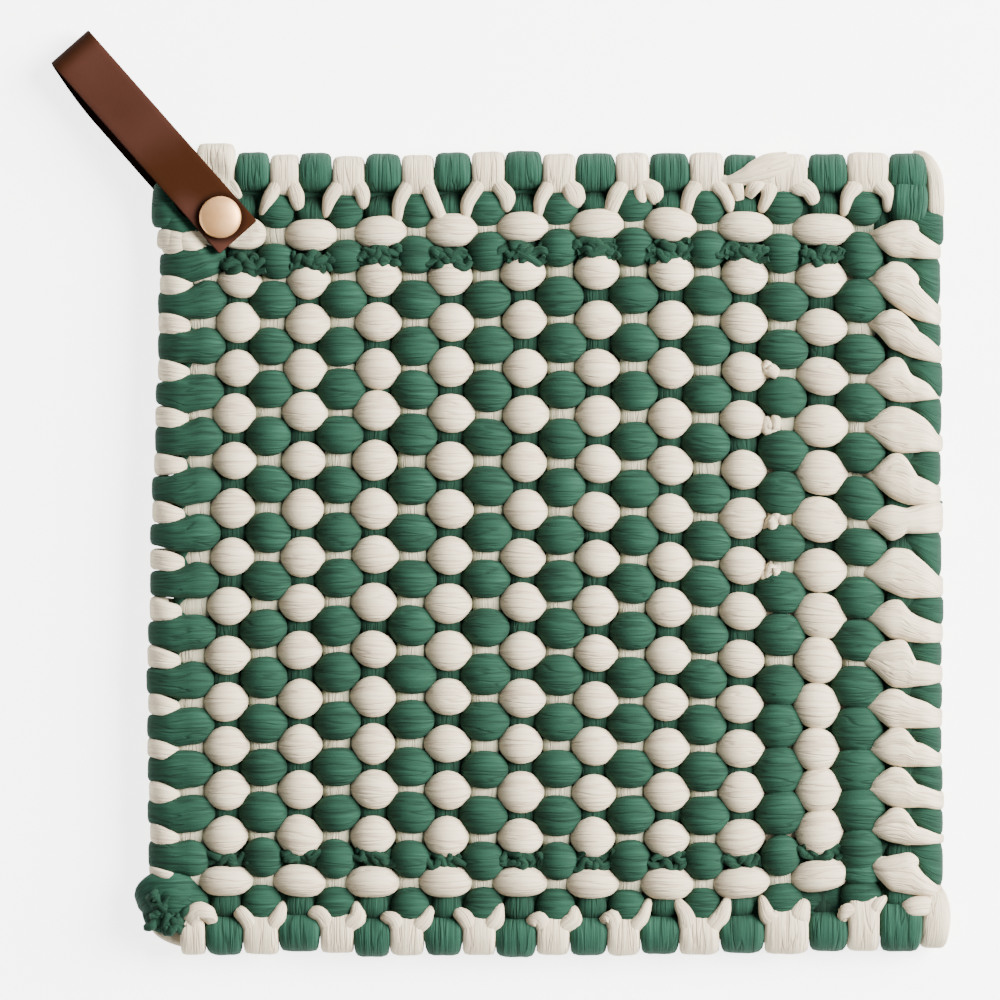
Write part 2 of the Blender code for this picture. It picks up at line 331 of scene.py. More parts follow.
def carried(make, geometry, value, kind):
    """Keeps a value on the points of a line, for the surface that is swept from it."""
    node = make.tree.nodes.new("GeometryNodeCaptureAttribute")
    node.capture_items.new(kind, "kept")
    make.feed(node, "Geometry", geometry)
    make.feed(node, 1, value)
    return Wire(make, node.outputs["Geometry"]), Wire(make, node.outputs[1])


def on_points(make, name, kind="FLOAT"):
    """A value that was written on the points of the line."""
    return make.add("GeometryNodeInputNamedAttribute", {"Name": name}, data_type=kind)


def directions(make, ahead):
    """Which way is across the strand at each point, and which way is up on it."""
    across = on_points(make, "across", "FLOAT_VECTOR")
    slant = make.vector("DOT_PRODUCT", across, ahead, out=1) * on_points(make, "turned")
    side = make.vector("NORMALIZE", make.vector("SUBTRACT", across, make.scaled(ahead, slant)))
    return side, make.vector("NORMALIZE", make.vector("CROSS_PRODUCT", ahead, side))


def section(make, turn):
    """How far sideways and upward a point of the ring lies, and the grain, which turns with it.
    The ring is an ellipse, or squarer, with folds that run along the strand."""
    angle = turn * (2 * pi)
    east, north = make.math("COSINE", angle), make.math("SINE", angle)
    grain = make.add("ShaderNodeCombineXYZ", {0: east, 1: north, 2: on_points(make, "run")})
    long_folds = make.vector("MULTIPLY", grain, (1.0, 1.0, FOLD_STRETCH))
    folds = make.noise(long_folds, FOLD_COUNT, detail=1.0) - 0.5
    power = on_points(make, "square") * 4.0 + 2.0  # 2 makes an ellipse, and more a rounded box
    corner = make.math("POWER", make.math("ABSOLUTE", east), power)
    corner = corner + make.math("POWER", make.math("ABSOLUTE", north), power)
    boxed = make.math("POWER", corner, -1.0 / power)
    swell = (folds * FOLD_DEPTH * on_points(make, "crimp") + 1.0) * boxed
    sideways, upward = east * on_points(make, "wide"), north * on_points(make, "deep")
    return sideways * swell, upward * swell, grain


def pressed(make, place):
    """The place, pressed between the legs of the strap and flat on the table."""
    parts = make.add("ShaderNodeSeparateXYZ", {0: place})
    from_rivet = make.vector("SUBTRACT", place, tuple(RIVET_AT))
    outwards = make.vector("DOT_PRODUCT", from_rivet, tuple(STRAP_ALONG), out=1)
    aside = make.vector("DOT_PRODUCT", from_rivet, tuple(STRAP_ACROSS), out=1)
    off_side = make.math("ABSOLUTE", aside)
    press = 1.0 - make.step(off_side, PRESS_SIDE, PRESS_SIDE + PRESS_FADE)
    press = press * make.step(outwards, PRESS_FROM - PRESS_FADE, PRESS_FROM)
    height = parts.out("Z")
    ceiling = FRONT_LEG_Z - STRAP_THICK / 2 - PRESS_GAP
    under = BACK_LEG_Z + STRAP_THICK / 2 + PRESS_GAP
    squeezed = make.math("MAXIMUM", make.math("MINIMUM", height, ceiling), under)
    settled = make.math("MAXIMUM", height + (squeezed - height) * press, 0.0)
    return make.add("ShaderNodeCombineXYZ", {0: parts.out("X"), 1: parts.out("Y"), 2: settled})


# %% The strand tree
def strand_tree():
    tree = bpy.data.node_groups.new("cotton strand", "GeometryNodeTree")
    for name, kind, way in (
        ("Geometry", "NodeSocketGeometry", "INPUT"),
        ("Sides", "NodeSocketInt", "INPUT"),
        ("Finish", "NodeSocketMaterial", "INPUT"),
        ("Geometry", "NodeSocketGeometry", "OUTPUT"),
    ):
        tree.interface.new_socket(name, in_out=way, socket_type=kind)
    make = Nodes(tree)
    given = make.add("NodeGroupInput")
    line = make.add("GeometryNodeMeshToCurve", {"Mesh": given.out("Geometry")})
    circle = {"Resolution": given.out("Sides"), "Radius": MM}
    ring = make.add("GeometryNodeCurvePrimitiveCircle", circle)
    line, centre = carried(make, line, make.add("GeometryNodeInputPosition"), "VECTOR")
    line, ahead = carried(make, line, make.add("GeometryNodeInputTangent"), "VECTOR")
    ring, turn = carried(make, ring, make.add("GeometryNodeSplineParameter"), "FLOAT")
    sweep = {"Curve": line, "Profile Curve": ring, "Fill Caps": True}
    swept = make.add("GeometryNodeCurveToMesh", sweep)

    side, rise = directions(make, ahead)
    sideways, upward, grain = section(make, turn)
    offset = make.vector("ADD", make.scaled(side, sideways), make.scaled(rise, upward))
    place = pressed(make, make.vector("ADD", centre, offset))
    placed = make.add("GeometryNodeSetPosition", {"Geometry": swept, "Position": place})
    named = make.add(
        "GeometryNodeStoreNamedAttribute",
        {"Geometry": placed, "Name": "grain", "Value": grain},
        data_type="FLOAT_VECTOR",
        domain="POINT",
    )
    smooth = make.add("GeometryNodeSetShadeSmooth", {"Geometry": named})
    real = make.add("GeometryNodeRealizeInstances", {"Geometry": smooth})
    finish = {"Geometry": real, "Material": given.out("Finish")}
    make.add("NodeGroupOutput", {"Geometry": make.add("GeometryNodeSetMaterial", finish)})
    return tree


STRAND_TREE = strand_tree()
print("strand tree", len(STRAND_TREE.nodes), "nodes")


# %% Bundles of strands
RUN_UNIT = 9 * MM  # the length of strand over which its ribs and folds change once
STRAND_APART = 10.0  # so many of them lie between two strands, which gives each ribs of its own


class Bundle:
    """Strands of one colour, laid as lines and then made into one piece."""

    def __init__(self, name):
        self.name = name
        self.points, self.links, self.across = [], [], []
        self.values = {"wide": [], "deep": [], "run": [], "crimp": [], "square": [], "turned": []}
        self.strands = 0

    def lay(self, stops, across=None, crimp=1.0, square=0.0):
        """Adds a strand. A stop is (place, half width, half depth). A section lies along across,
        or where none is given it turns with the strand. square gives the sections corners, all of
        them or each its own."""
        squares = square if isinstance(square, list) else [square] * len(stops)
        turned = 0.0
        if across is None:
            chord = stops[-1][0] - stops[0][0]
            across, turned = Vector((chord.y, -chord.x, 0)).normalized(), 1.0
        self.strands += 1
        start = len(self.points)
        travelled = STRAND_APART * self.strands
        for k, (place, wide, deep) in enumerate(stops):
            if k:
                travelled += (place - self.points[-1]).length / RUN_UNIT
                self.links.append((start + k - 1, start + k))
            self.points.append(place)
            self.across.append(across)
            for name, value in zip(self.values, (wide, deep, travelled, crimp, squares[k], turned)):
                self.values[name].append(value)

    def make(self, material, slot, sides):
        """Sweeps the strands and returns the piece, a plain mesh that rides on the body."""
        mesh = bpy.data.meshes.new(self.name)
        mesh.from_pydata(self.points, self.links, [])
        for name, numbers in self.values.items():
            mesh.attributes.new(name, "FLOAT", "POINT").data.foreach_set("value", numbers)
        flat = [number for vector in self.across for number in vector]
        mesh.attributes.new("across", "FLOAT_VECTOR", "POINT").data.foreach_set("vector", flat)
        lines = linked(self.name, mesh)
        sweep = lines.modifiers.new("sweep", "NODES")
        sweep.node_group = STRAND_TREE
        wanted = {"Sides": sides, "Finish": material}
        for item in STRAND_TREE.interface.items_tree:
            if item.in_out == "INPUT" and item.name in wanted:
                sweep[item.identifier] = wanted[item.name]
        piece = plain_copy(lines)
        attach(piece, BODY)
        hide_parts("woven_mat")
        print(self.name, self.strands, "strands", len(piece.data.polygons), "faces")
        return piece


def plain_copy(source):
    """Turns an object with modifiers into a plain mesh object of the same name."""
    graph = bpy.context.evaluated_depsgraph_get()
    mesh = bpy.data.meshes.new_from_object(source.evaluated_get(graph))
    name = source.name
    bpy.data.objects.remove(source)
    mesh.name = name
    return linked(name, mesh)


# %% [markdown]
# ## The finish of the cotton
# The loops are cotton jersey. From near by it shows fine ribs that run along each strand, with
# small changes of tone between them, a soft nap that glows at grazing angles, and a fine knit
# grain. The ribs follow the `grain` attribute of the strand tree, which turns with the strand.
# Its colour also carries painted shade, darker down in the weave and along the creases.


# %% Cotton
# How many ribs, creases and patches there are, and how much they are drawn out along a strand.
RIB_COUNT, RIB_STRETCH = 7.0, 0.16
CREASE_COUNT, CREASE_STRETCH, CREASE_WIDE, CREASE_DARK = 1.9, 0.30, 0.045, 0.55
PATCH_COUNT, PATCH_SHARE = 1.1, 0.25
KNIT_COUNT, KNIT_HEIGHT = 2600.0, 0.18
DARK_TO_MIDDLE, MIDDLE_TO_LIGHT = (0.30, 0.52), (0.50, 0.72)
SHADE_LOW, SHADE_HIGH = 6.5 * MM, 10.2 * MM  # painted shade: lower down in the weave the colour is darkened


def cotton(name, painted_shade_tone, dark, middle, light, shade=0.6):
    material, make, shader = new_material(name, {
        "Roughness": 0.92,
        "Specular IOR Level": 0.2,
        "Sheen Weight": 0.35,
        "Sheen Roughness": 0.5,
        "Sheen Tint": (*light, 1),
    })  # fmt: skip
    grain = make.add("ShaderNodeAttribute", out="Vector", attribute_name="grain")
    place = make.add("ShaderNodeTexCoord", out="Object")
    along_ribs = make.vector("MULTIPLY", grain, (1.0, 1.0, RIB_STRETCH))
    ribs = make.noise(along_ribs, RIB_COUNT, detail=3.0, rough=0.6)
    folds = make.noise(make.vector("MULTIPLY", grain, (1.0, 1.0, CREASE_STRETCH)), CREASE_COUNT)
    # Painted shade along the creases: thin lines where the colour goes towards the dark tone.
    crease = 1.0 - make.step(make.math("ABSOLUTE", folds - 0.5), 0.0, CREASE_WIDE)
    patches = make.noise(grain, PATCH_COUNT, detail=1.0)
    tone = ribs * (1 - PATCH_SHARE) + patches * PATCH_SHARE
    lower = make.blend(make.step(tone, *DARK_TO_MIDDLE), (*dark, 1), (*middle, 1))
    ribbed = make.blend(make.step(tone, *MIDDLE_TO_LIGHT), lower, (*light, 1))
    crease_shaded = make.blend(crease * CREASE_DARK, ribbed, (*dark, 1))
    # Painted shade: lower in the weave the colour goes towards the painted shade tone.
    level = make.add("ShaderNodeSeparateXYZ", {0: place}).out("Z")
    deep = 1.0 - make.step(level, SHADE_LOW, SHADE_HIGH)
    make.feed(shader, "Base Color", make.blend(deep * shade, crease_shaded, (*painted_shade_tone, 1)))
    relief = ribs - crease * CREASE_DARK + make.noise(place, KNIT_COUNT) * KNIT_HEIGHT
    bump = {"Strength": 0.6, "Distance": 0.5 * MM, "Height": relief}
    make.feed(shader, "Normal", make.add("ShaderNodeBump", bump))
    return material


# Each: the painted shade tone, for deep in the weave, then the dark, the middle and the light one.
CREAM_TONES = ((0.29, 0.26, 0.18), (0.50, 0.39, 0.285), (0.665, 0.565, 0.40), (0.76, 0.685, 0.505))
GREEN_TONES = (
    (0.0028, 0.0145, 0.0085), (0.0040, 0.0195, 0.0115),
    (0.0096, 0.0415, 0.0248), (0.0164, 0.0650, 0.0402),
)  # fmt: skip
# Painted light: the edge's green is a lighter copy of the beads' green, for the blocks and bars at the
# rims, which look brighter lit.
LIT_EDGE_TONES = (
    (0.0030, 0.0150, 0.0088), (0.0052, 0.0240, 0.0142),
    (0.0128, 0.0520, 0.0325), (0.0250, 0.0860, 0.0550),
)  # fmt: skip
# Painted shade: the knots' green is a darker copy of the beads' green, for the shade in their crumpled
# threads.
SHADED_KNOT_TONES = (
    (0.0024, 0.0120, 0.0070), (0.0034, 0.0165, 0.0095),
    (0.0075, 0.0330, 0.0190), (0.0130, 0.0520, 0.0310),
)  # fmt: skip
WARP_SHADE_TONE = (0.20, 0.225, 0.155)  # painted shade of the warps' necks: cream darkened and tinted green, as by light bounced off the green neighbours
CREAM = cotton("cream cotton", *CREAM_TONES)
# Painted shade: the two finishes of the warps are copies with more painted shade, for their necks down in
# the weave.
CREAM_WARP = cotton("cream cotton of the warps", WARP_SHADE_TONE, *CREAM_TONES[1:], shade=1.5)
GREEN = cotton("green cotton", *GREEN_TONES)
GREEN_WARP = cotton("green cotton of the warps", *GREEN_TONES, shade=1.3)
GREEN_EDGE = cotton("green cotton of the edge", *LIT_EDGE_TONES)
GREEN_KNOT = cotton("green cotton of the knots", *SHADED_KNOT_TONES)
print("cotton", [finish.name for finish in (CREAM, CREAM_WARP, GREEN, GREEN_WARP, GREEN_EDGE, GREEN_KNOT)])

# %% [markdown]
# ## The wefts
# A weft floats over every second warp and puffs out into a bead there. In between it dives under
# a warp and puffs out again on the back. Its middle line is a cosine, and its width follows how
# far it is to the tip of the bead. A bead of the front is a little longer than one of the back.
# Even wefts are cream and odd ones green. Where the weave is closed up, at the lower right, the
# beads grow until they touch and hide the warp between them.

# %% Sizes of the beads
# A bead is worked out at its middle and at these shares of the way to its tips.
FRONT_SHARES, BACK_SHARES = (0.26, 0.48, 0.67, 0.82, 0.93, 1.0), (0.45, 0.80)
SWING = 2.8 * MM
BEAD_DEEP, TIP_DEEP = 3.25 * MM, 1.6 * MM
LAST_SWING, LAST_DEEP = 1.7 * MM, 2.9 * MM  # the first and the last weft are drawn down
CREAM_WIDE, GREEN_WIDE, END_ROW_WIDE = 5.0 * MM, 5.1 * MM, 4.1 * MM
BACK_WIDE, TIP_WIDE = 4.6 * MM, 1.0 * MM
# Half lengths, in warps. Green beads near the ends are short, and those of the end rows long.
CREAM_LENGTH, GREEN_LENGTH, SHORT_LENGTH, END_ROW_LENGTH = 0.50, 0.535, 0.42, 0.64
BACK_LENGTH, SHORT_FROM = 0.45, 12
# How blunt a bead is: the power of its outline, and its changes.
CREAM_BLUNT, GREEN_BLUNT, END_ROW_BLUNTER, BLUNT_SPREAD = 2.1, 2.8, 0.9, 0.3
WIDE_SPREAD, LENGTH_SPREAD, SHIFT_SPREAD = 0.06, 0.04, 0.15 * MM
FIRST_WIDE_SHARE = 0.94  # of the beads over the first warp
LONG_COLUMN, LONG_FROM, LONG_SHARE = 7, -2, 1.15
# A few beads are unlike the rest: (column, weft), width share, shift up in mm.
ODD_BEADS = {
    (-9, 12): (0.72, -1.3), (-7, 12): (0.92, -0.4),
    (-8, 13): (0.86, -0.3), (-6, 13): (0.86, 0.0),
}  # fmt: skip
# Where the weave is closed up: for each warp, the wefts over which it is drawn down out of sight.
CLOSED = {
    6: (4, -2, -6, -8, -10, -12),
    7: tuple(range(-15, 6, 2)),
    8: (14, 12, 4, -2, -6, -8, -10, -12, -14),
}
CLOSED_GROWTH = 0.45 * MM
print("a cream bead is", round(2 * CREAM_WIDE / MM, 1), "mm wide")


# %% Beads
def is_cream(r):
    return r % 2 == 0


def is_front(column, r):
    return (column + r) % 2 != 0


def is_closed(c, r):
    return r in CLOSED.get(c, ())


def bead_shape(column, r):
    """Half width, half length in warps, and shift up, of the bead of weft r in a column."""
    if not is_front(column, r):
        return BACK_WIDE, BACK_LENGTH, 0.0
    spread = 1 + WIDE_SPREAD * chance(column, r, 5)
    wide = (CREAM_WIDE if is_cream(r) else GREEN_WIDE) * spread
    length = CREAM_LENGTH if is_cream(r) else SHORT_LENGTH if abs(r) > SHORT_FROM else GREEN_LENGTH
    length *= 1 + LENGTH_SPREAD * chance(column, r, 6)
    shift = SHIFT_SPREAD * chance(column, r, 7)
    if abs(r) == LAST_WEFT - 1:
        wide, length = END_ROW_WIDE * spread, END_ROW_LENGTH
    if column == FIRST_WARP:
        wide *= FIRST_WIDE_SHARE
    if (column, r) in ODD_BEADS:
        share, up = ODD_BEADS[column, r]
        wide, shift = wide * share, shift + up * MM
    if column == LONG_COLUMN and r >= LONG_FROM:
        length *= LONG_SHARE
    if abs(r) < LAST_WEFT - 1:
        above, below = is_closed(column, r + 1), is_closed(column, r - 1)
        wide += CLOSED_GROWTH * (above + below)
        shift += CLOSED_GROWTH * (above - below)
    return wide, length, shift


def weft_stop(column, r, side=0, share=0.0):
    """The stop of weft r at a share of the way from a bead's middle to its tip on one side."""
    bead, reach, shift = bead_shape(column, r)
    height = cos(pi / 2 * share)
    if not is_front(column, r):
        reach, height = 1 - bead_shape(column + side, r)[1], -height
    power = CREAM_BLUNT if is_cream(r) else GREEN_BLUNT
    power += BLUNT_SPREAD * chance(column, r, 9)
    if abs(r) == LAST_WEFT - 1:
        power += END_ROW_BLUNTER
    fullness = max(0.0, 1 - share**power) ** 0.5
    swing, full_depth = (LAST_SWING, LAST_DEEP) if abs(r) == LAST_WEFT else (SWING, BEAD_DEEP)
    place = plan(column + side * share * reach, r)
    place.y += shift * fullness
    place.z = MIDDLE_Z + swing * height
    wide = TIP_WIDE + (bead - TIP_WIDE) * fullness
    return place, wide, TIP_DEEP + (full_depth - TIP_DEEP) * fullness


def weft_middle(r, last):
    """The stops of weft r from the middle of its first bead to the middle of its last."""
    stops = []
    for column in range(FIRST_WARP, last + 1):
        shares = FRONT_SHARES if is_front(column, r) else BACK_SHARES
        if column > FIRST_WARP:
            stops += [weft_stop(column, r, -1, share) for share in shares[::-1]]
        stops.append(weft_stop(column, r))
        if column < last:
            stops += [weft_stop(column, r, 1, share) for share in shares]
    return stops


print("the middle weft has", len(weft_middle(0, LAST_WARP - 1)), "stops")

# %% The left ends of the wefts
# Round the rim and back underneath, as (warp count, lift, height, half width, half depth), the last
# four in mm. A green end is a thick bar that lies over the last warp, and a cream one comes up from
# under it as a blunt wedge.
LEFT_BAR = (
    (-10.45, -0.2, 8.8, 4.5, 3.1), (-10.75, 0.0, 8.2, 3.8, 2.9), (-11.0, 0.2, 7.0, 3.3, 2.6),
    (-11.06, 0.3, 5.2, 3.2, 2.4), (-10.9, 0.2, 3.1, 3.0, 2.1), (-10.3, 0.0, 2.4, 2.4, 1.8),
)  # fmt: skip
LEFT_WEDGE = (
    (-10.50, -1.0, 4.6, 1.2, 1.2), (-10.52, -0.9, 7.6, 1.9, 1.7), (-10.74, -0.5, 8.9, 2.6, 2.2),
    (-10.95, 0.1, 8.1, 2.85, 2.4), (-11.06, 0.4, 5.8, 2.85, 2.3), (-10.95, 0.4, 3.2, 2.6, 1.9),
    (-10.3, 0.0, 2.3, 1.9, 1.5),
)  # fmt: skip
LEFT_SPREAD = 0.14
THIN_WEDGE = {-14: 0.45}


def left_stops(table, r):
    stops = []
    for n, (c, lift, height, wide, deep) in enumerate(table):
        grow = (1 + LEFT_SPREAD * chance(n * 0.3, r, table[0][0])) * THIN_WEDGE.get(r, 1)
        stops.append((plan(c, r) + Vector((0, lift, height)) * MM, wide * MM * grow, deep * MM))
    return stops


print("left ends of", len(LEFT_BAR), "and", len(LEFT_WEDGE), "stops")

# %% The right ends of the wefts
# On the right a cream weft ends in a leaf, whose tail slants down to the rim. For each weft: its tip
# (x, y), and how far above the tip its upper and its lower edge lie at six stations, all in mm. The
# x of the first five stations is given and the sixth is the rim. Green wedges fill the rest.
LEAF_X = (83.0, 85.5, 87.0, 88.3, 91.1)
RIM_C = 9.80
LEAVES = {
    14: ((78.7, 80.5), (3.5, 4.0, 4.0, 3.8, 0.3, -1.5), (-4.8, -5.3, -5.3, -5.3, -5.6, -5.6)),
    12: ((78.7, 69.6), (4.3, 4.3, 3.8, 2.3, -3.0, -5.8), (-5.8, -7.6, -8.6, -9.4, -10.6, -11.4)),
    10: ((78.7, 58.7), (3.3, 2.8, 1.5, -0.5, -2.8, -5.6), (-6.3, -7.3, -8.1, -8.6, -9.4, -10.1)),
    8: ((77.9, 44.3), (5.6, 5.6, 4.0, 1.5, -0.3, -4.0), (-5.1, -5.6, -5.6, -5.6, -5.3, -4.8)),
    6: ((77.4, 32.4), (5.1, 5.1, 4.8, 4.3, 2.5, -1.8), (-6.1, -6.6, -6.6, -6.6, -6.3, -6.3)),
    4: ((78.4, 20.2), (5.1, 5.3, 4.0, 1.0, -0.8, -2.3), (-5.6, -6.8, -7.3, -7.6, -7.6, -7.1)),
    2: ((77.9, 8.9), (3.8, 3.3, 3.0, 3.3, 4.3, 4.6), (-5.3, -4.6, -3.5, -3.5, -3.5, -3.3)),
    0: ((77.4, -4.6), (6.1, 6.3, 6.1, 5.6, 3.0, -0.5), (-4.8, -5.8, -6.1, -6.3, -6.3, -6.3)),
    -2: ((78.4, -15.7), (4.3, 4.3, 2.8, 1.3, -0.3, -1.5), (-5.3, -5.8, -6.1, -6.3, -6.6, -6.6)),
    -4: ((75.9, -25.3), (3.5, 3.8, 3.0, -0.8, -1.6, -2.5), (-7.8, -8.3, -8.3, -8.1, -7.8, -7.3)),
    -6: ((77.9, -38.2), (4.3, 4.0, 3.0, 2.3, 1.3, -0.5), (-5.6, -5.6, -5.6, -5.6, -5.6, -5.6)),
    -8: ((78.4, -48.8), (4.8, 5.1, 4.3, 2.0, 1.0, -1.0), (-4.3, -4.8, -4.8, -4.8, -4.8, -4.8)),
    -10: ((77.2, -58.7), (4.8, 4.8, 3.8, 1.5, 0.3, -1.0), (-4.8, -5.3, -5.3, -5.3, -5.3, -5.8)),
    -12: ((78.4, -69.1), (4.8, 5.1, 4.0, 1.3, 0.0, -1.5), (-3.5, -4.0, -4.3, -4.3, -4.3, -4.0)),
    -14: ((77.9, -78.7), (2.5, 3.0, 3.3, 3.0, -2.0, -4.8), (-6.1, -6.8, -7.1, -7.3, -7.6, -7.8)),
}
# Height and half depth of a leaf at the stations, and of a wedge at the last three.
LEAF_DEPTHS = ((8.8, 3.2), (8.9, 3.25), (8.9, 3.2), (8.8, 3.1), (8.3, 2.9), (6.4, 2.5))
WEDGE_DEPTHS = {3: (6.0, 2.0), 4: (6.8, 2.3), 5: (6.2, 2.4)}
LEAF_TIP_Z, LEAF_ROOT = 7.0, Vector((-2.0, 0, -2.6)) * MM  # its root is under the last bead
LEAF_TIP_WIDE, LEAF_TIP_DEEP, LEAST_WIDE = 1.5 * MM, 2.0 * MM, 0.5 * MM
# Between its tip and its first station an end has a shoulder: how much of the way over to the
# station it lies, how high, and its width share.
LEAF_SHOULDER, LOBE_SHOULDER, SHOULDER_WIDE = (0.3, 8.2 * MM), (0.5, 9.0 * MM), 0.68
# Past the rim an end turns back underneath: warp count, width share, height and half depth.
RIM_TURN = ((9.86, 1.0, 4.6, 2.2), (9.7, 0.8, 3.0, 1.8), (9.2, 0.6, 2.4, 1.5))
TOP_OF_RIM, FOOT_OF_RIM = 86.8 * MM, -86.0 * MM
WEDGE_TUCK = 0.45 * MM  # how far a wedge reaches in under the leaves
THIN_GAP, THIN_SUNK = 2 * MM, 0.6  # a wedge in a gap this thin lies lower
# Some leaves are creased along the middle: their upper half is a lobe of its own. It has a height,
# a half depth and a width share at the first four stations.
LOBED = (14, 12, 10, 4, -4, -8, -10, -12, -14)
LOBE_DEPTHS = ((9.5, 2.9, 1.0), (9.6, 2.9, 1.0), (9.4, 2.8, 0.95), (8.7, 2.3, 0.75))
LOBE_SHARE, LOBE_PROUD, LOBE_TIP_Z = 0.27, 0.15 * MM, 7.2
LOBE_TIP_WIDE, LOBE_TIP_DEEP, LOBE_SHOULDER_DEEP = 0.8 * MM, 1.2 * MM, 2.4 * MM
LOBE_END, LOBE_END_WIDE = Vector((0.7, -0.4, -1.3)) * MM, 0.3
RIM_FROM, RIM_TO = -10.4, 9.4  # past these counts a weft is at the rim, and squarer
RIM_SQUARE, RIM_SQUARE_FADE = 0.6, 4 * MM


def leaf_edge(r, station, side):
    """The y of a leaf's upper edge (side 1) or lower edge (side 2), or of the end of the rim."""
    if abs(r) > LAST_WEFT:
        return TOP_OF_RIM if r > 0 else FOOT_OF_RIM
    return (LEAVES[r][0][1] + LEAVES[r][side][station]) * MM


def edge_stop(r, station, low, high, height, deep):
    x = LEAF_X[station] * MM if station < len(LEAF_X) else plan(RIM_C, r).x
    return Vector((x, (low + high) / 2, height * MM)), max(LEAST_WIDE, (high - low) / 2), deep * MM


def round_the_rim(stops, r):
    """Adds the stops that turn down at the rim and back underneath."""
    rim, wide, _ = stops[-1]
    for c, share, height, deep in RIM_TURN:
        stops.append((Vector((plan(c, r).x, rim.y, height * MM)), wide * share, deep * MM))
    return stops


def shoulder(tip, first, share, height):
    return Vector(((tip.x + first.x) / 2, tip.y + share * (first.y - tip.y), height))


def leaf_stops(r):
    tip = Vector((*LEAVES[r][0], LEAF_TIP_Z)) * MM
    body = []
    for station, (height, deep) in enumerate(LEAF_DEPTHS):
        low, high = leaf_edge(r, station, 2), leaf_edge(r, station, 1)
        body.append(edge_stop(r, station, low, high, height, deep))
    first, wide, deep = body[0]
    stops = [
        (tip + LEAF_ROOT, TIP_WIDE, TIP_DEEP),
        (tip, LEAF_TIP_WIDE, LEAF_TIP_DEEP),
        (shoulder(tip, first, *LEAF_SHOULDER), SHOULDER_WIDE * wide, 0.85 * deep),
    ]
    return round_the_rim(stops + body, r)


def lobe_stops(r):
    tip = Vector((*LEAVES[r][0], LOBE_TIP_Z)) * MM
    half = LOBE_SHARE * (leaf_edge(r, 1, 1) - leaf_edge(r, 1, 2))
    body = []
    for station, (height, deep, share) in enumerate(LOBE_DEPTHS):
        high = leaf_edge(r, station, 1) + LOBE_PROUD
        body.append(edge_stop(r, station, high - 2 * half * share, high, height, deep))
    first, last = body[0][0], body[-1][0]
    return [
        (tip, LOBE_TIP_WIDE, LOBE_TIP_DEEP),
        (shoulder(tip, first, *LOBE_SHOULDER), SHOULDER_WIDE * half, LOBE_SHOULDER_DEEP),
        *body,
        (last + LOBE_END, LOBE_END_WIDE * half, LOBE_TIP_DEEP),
    ]


def wedge_stops(r):
    stops = []
    for station, (height, deep) in WEDGE_DEPTHS.items():
        low = leaf_edge(r - 1, station, 1) - WEDGE_TUCK
        high = leaf_edge(r + 1, station, 2) + WEDGE_TUCK
        sunk = THIN_SUNK if high - low < THIN_GAP else 1.0
        stops.append(edge_stop(r, station, low, high, height * sunk, deep))
    return round_the_rim(stops, r)


print("right ends:", len(LEAVES), "leaves, and", len(LOBED), "of them are creased")

# %% Laying the wefts
ACROSS_WEFT, ACROSS_WARP = Vector((0, 1, 0)), Vector((1, 0, 0))
WEFT_SIDES = 26


def between(a, b, c, d, t):
    """The point at t between b and c, on the smooth curve that a and d help to bend."""
    bend = (2 * a - 5 * b + 4 * c - d) * t * t
    return (2 * b + (c - a) * t + bend + (3 * b - 3 * c + d - a) * t**3) * 0.5


def rounded(stops, steps=4):
    """The same strand with smooth turns, on a curve through its stops."""
    found = []
    ends = [stops[0], *stops, stops[-1]]
    for a, b, c, d in zip(ends, ends[1:], ends[2:], ends[3:]):
        for k in range(steps):
            found.append(tuple(between(a[n], b[n], c[n], d[n], k / steps) for n in range(3)))
    return found + [stops[-1]]


def weft(r):
    """The stops of a weft, and how square its sections are: only at the rims."""
    last = LAST_WARP - 1 if is_cream(r) else LAST_WARP
    middle = weft_middle(r, last)
    left = left_stops(LEFT_WEDGE if is_cream(r) else LEFT_BAR, r)[::-1]
    right = leaf_stops(r) if is_cream(r) else wedge_stops(r)
    stops = rounded(left + middle[:1])[:-1] + middle + rounded(middle[-1:] + right)[1:]
    low, high = plan(RIM_FROM, r).x, plan(RIM_TO, r).x
    past_rim = [max(low - stop[0].x, stop[0].x - high) / RIM_SQUARE_FADE for stop in stops]
    return stops, [RIM_SQUARE * smooth_step(share) for share in past_rim]


cream_wefts, green_wefts = Bundle("cream_wefts"), Bundle("green_wefts")
for r in range(-LAST_WEFT, LAST_WEFT + 1):
    bundle = cream_wefts if is_cream(r) else green_wefts
    stops, square = weft(r)
    bundle.lay(stops, ACROSS_WEFT, square=square)
for r in LOBED:
    cream_wefts.lay(rounded(lobe_stops(r)), ACROSS_WEFT)
cream_wefts = cream_wefts.make(CREAM, "cotton_cream", WEFT_SIDES)
green_wefts = green_wefts.make(GREEN, "cotton_green", WEFT_SIDES)

# %% [markdown]
# ## The warps
# The warps run from the top to the bottom of the mat. They are drawn in tight by the beads, and
# show only as short ribbed necks, where they tie a weft down. Even warps are cream, odd ones green.

# %% Warps
WARP_STEPS, WARP_SIDES, WARP_CRIMP = 6, 22, 2.8
WARP_SWING, CLOSED_DROP, LAST_RISE = 1.35 * MM, 1.6 * MM, 0.9 * MM
CREAM_WARP_WIDE, GREEN_WARP_WIDE, FIRST_WARP_WIDE = 3.2 * MM, 3.1 * MM, 3.9 * MM
WARP_DEEP, TIE_WIDER = 1.5 * MM, 0.20


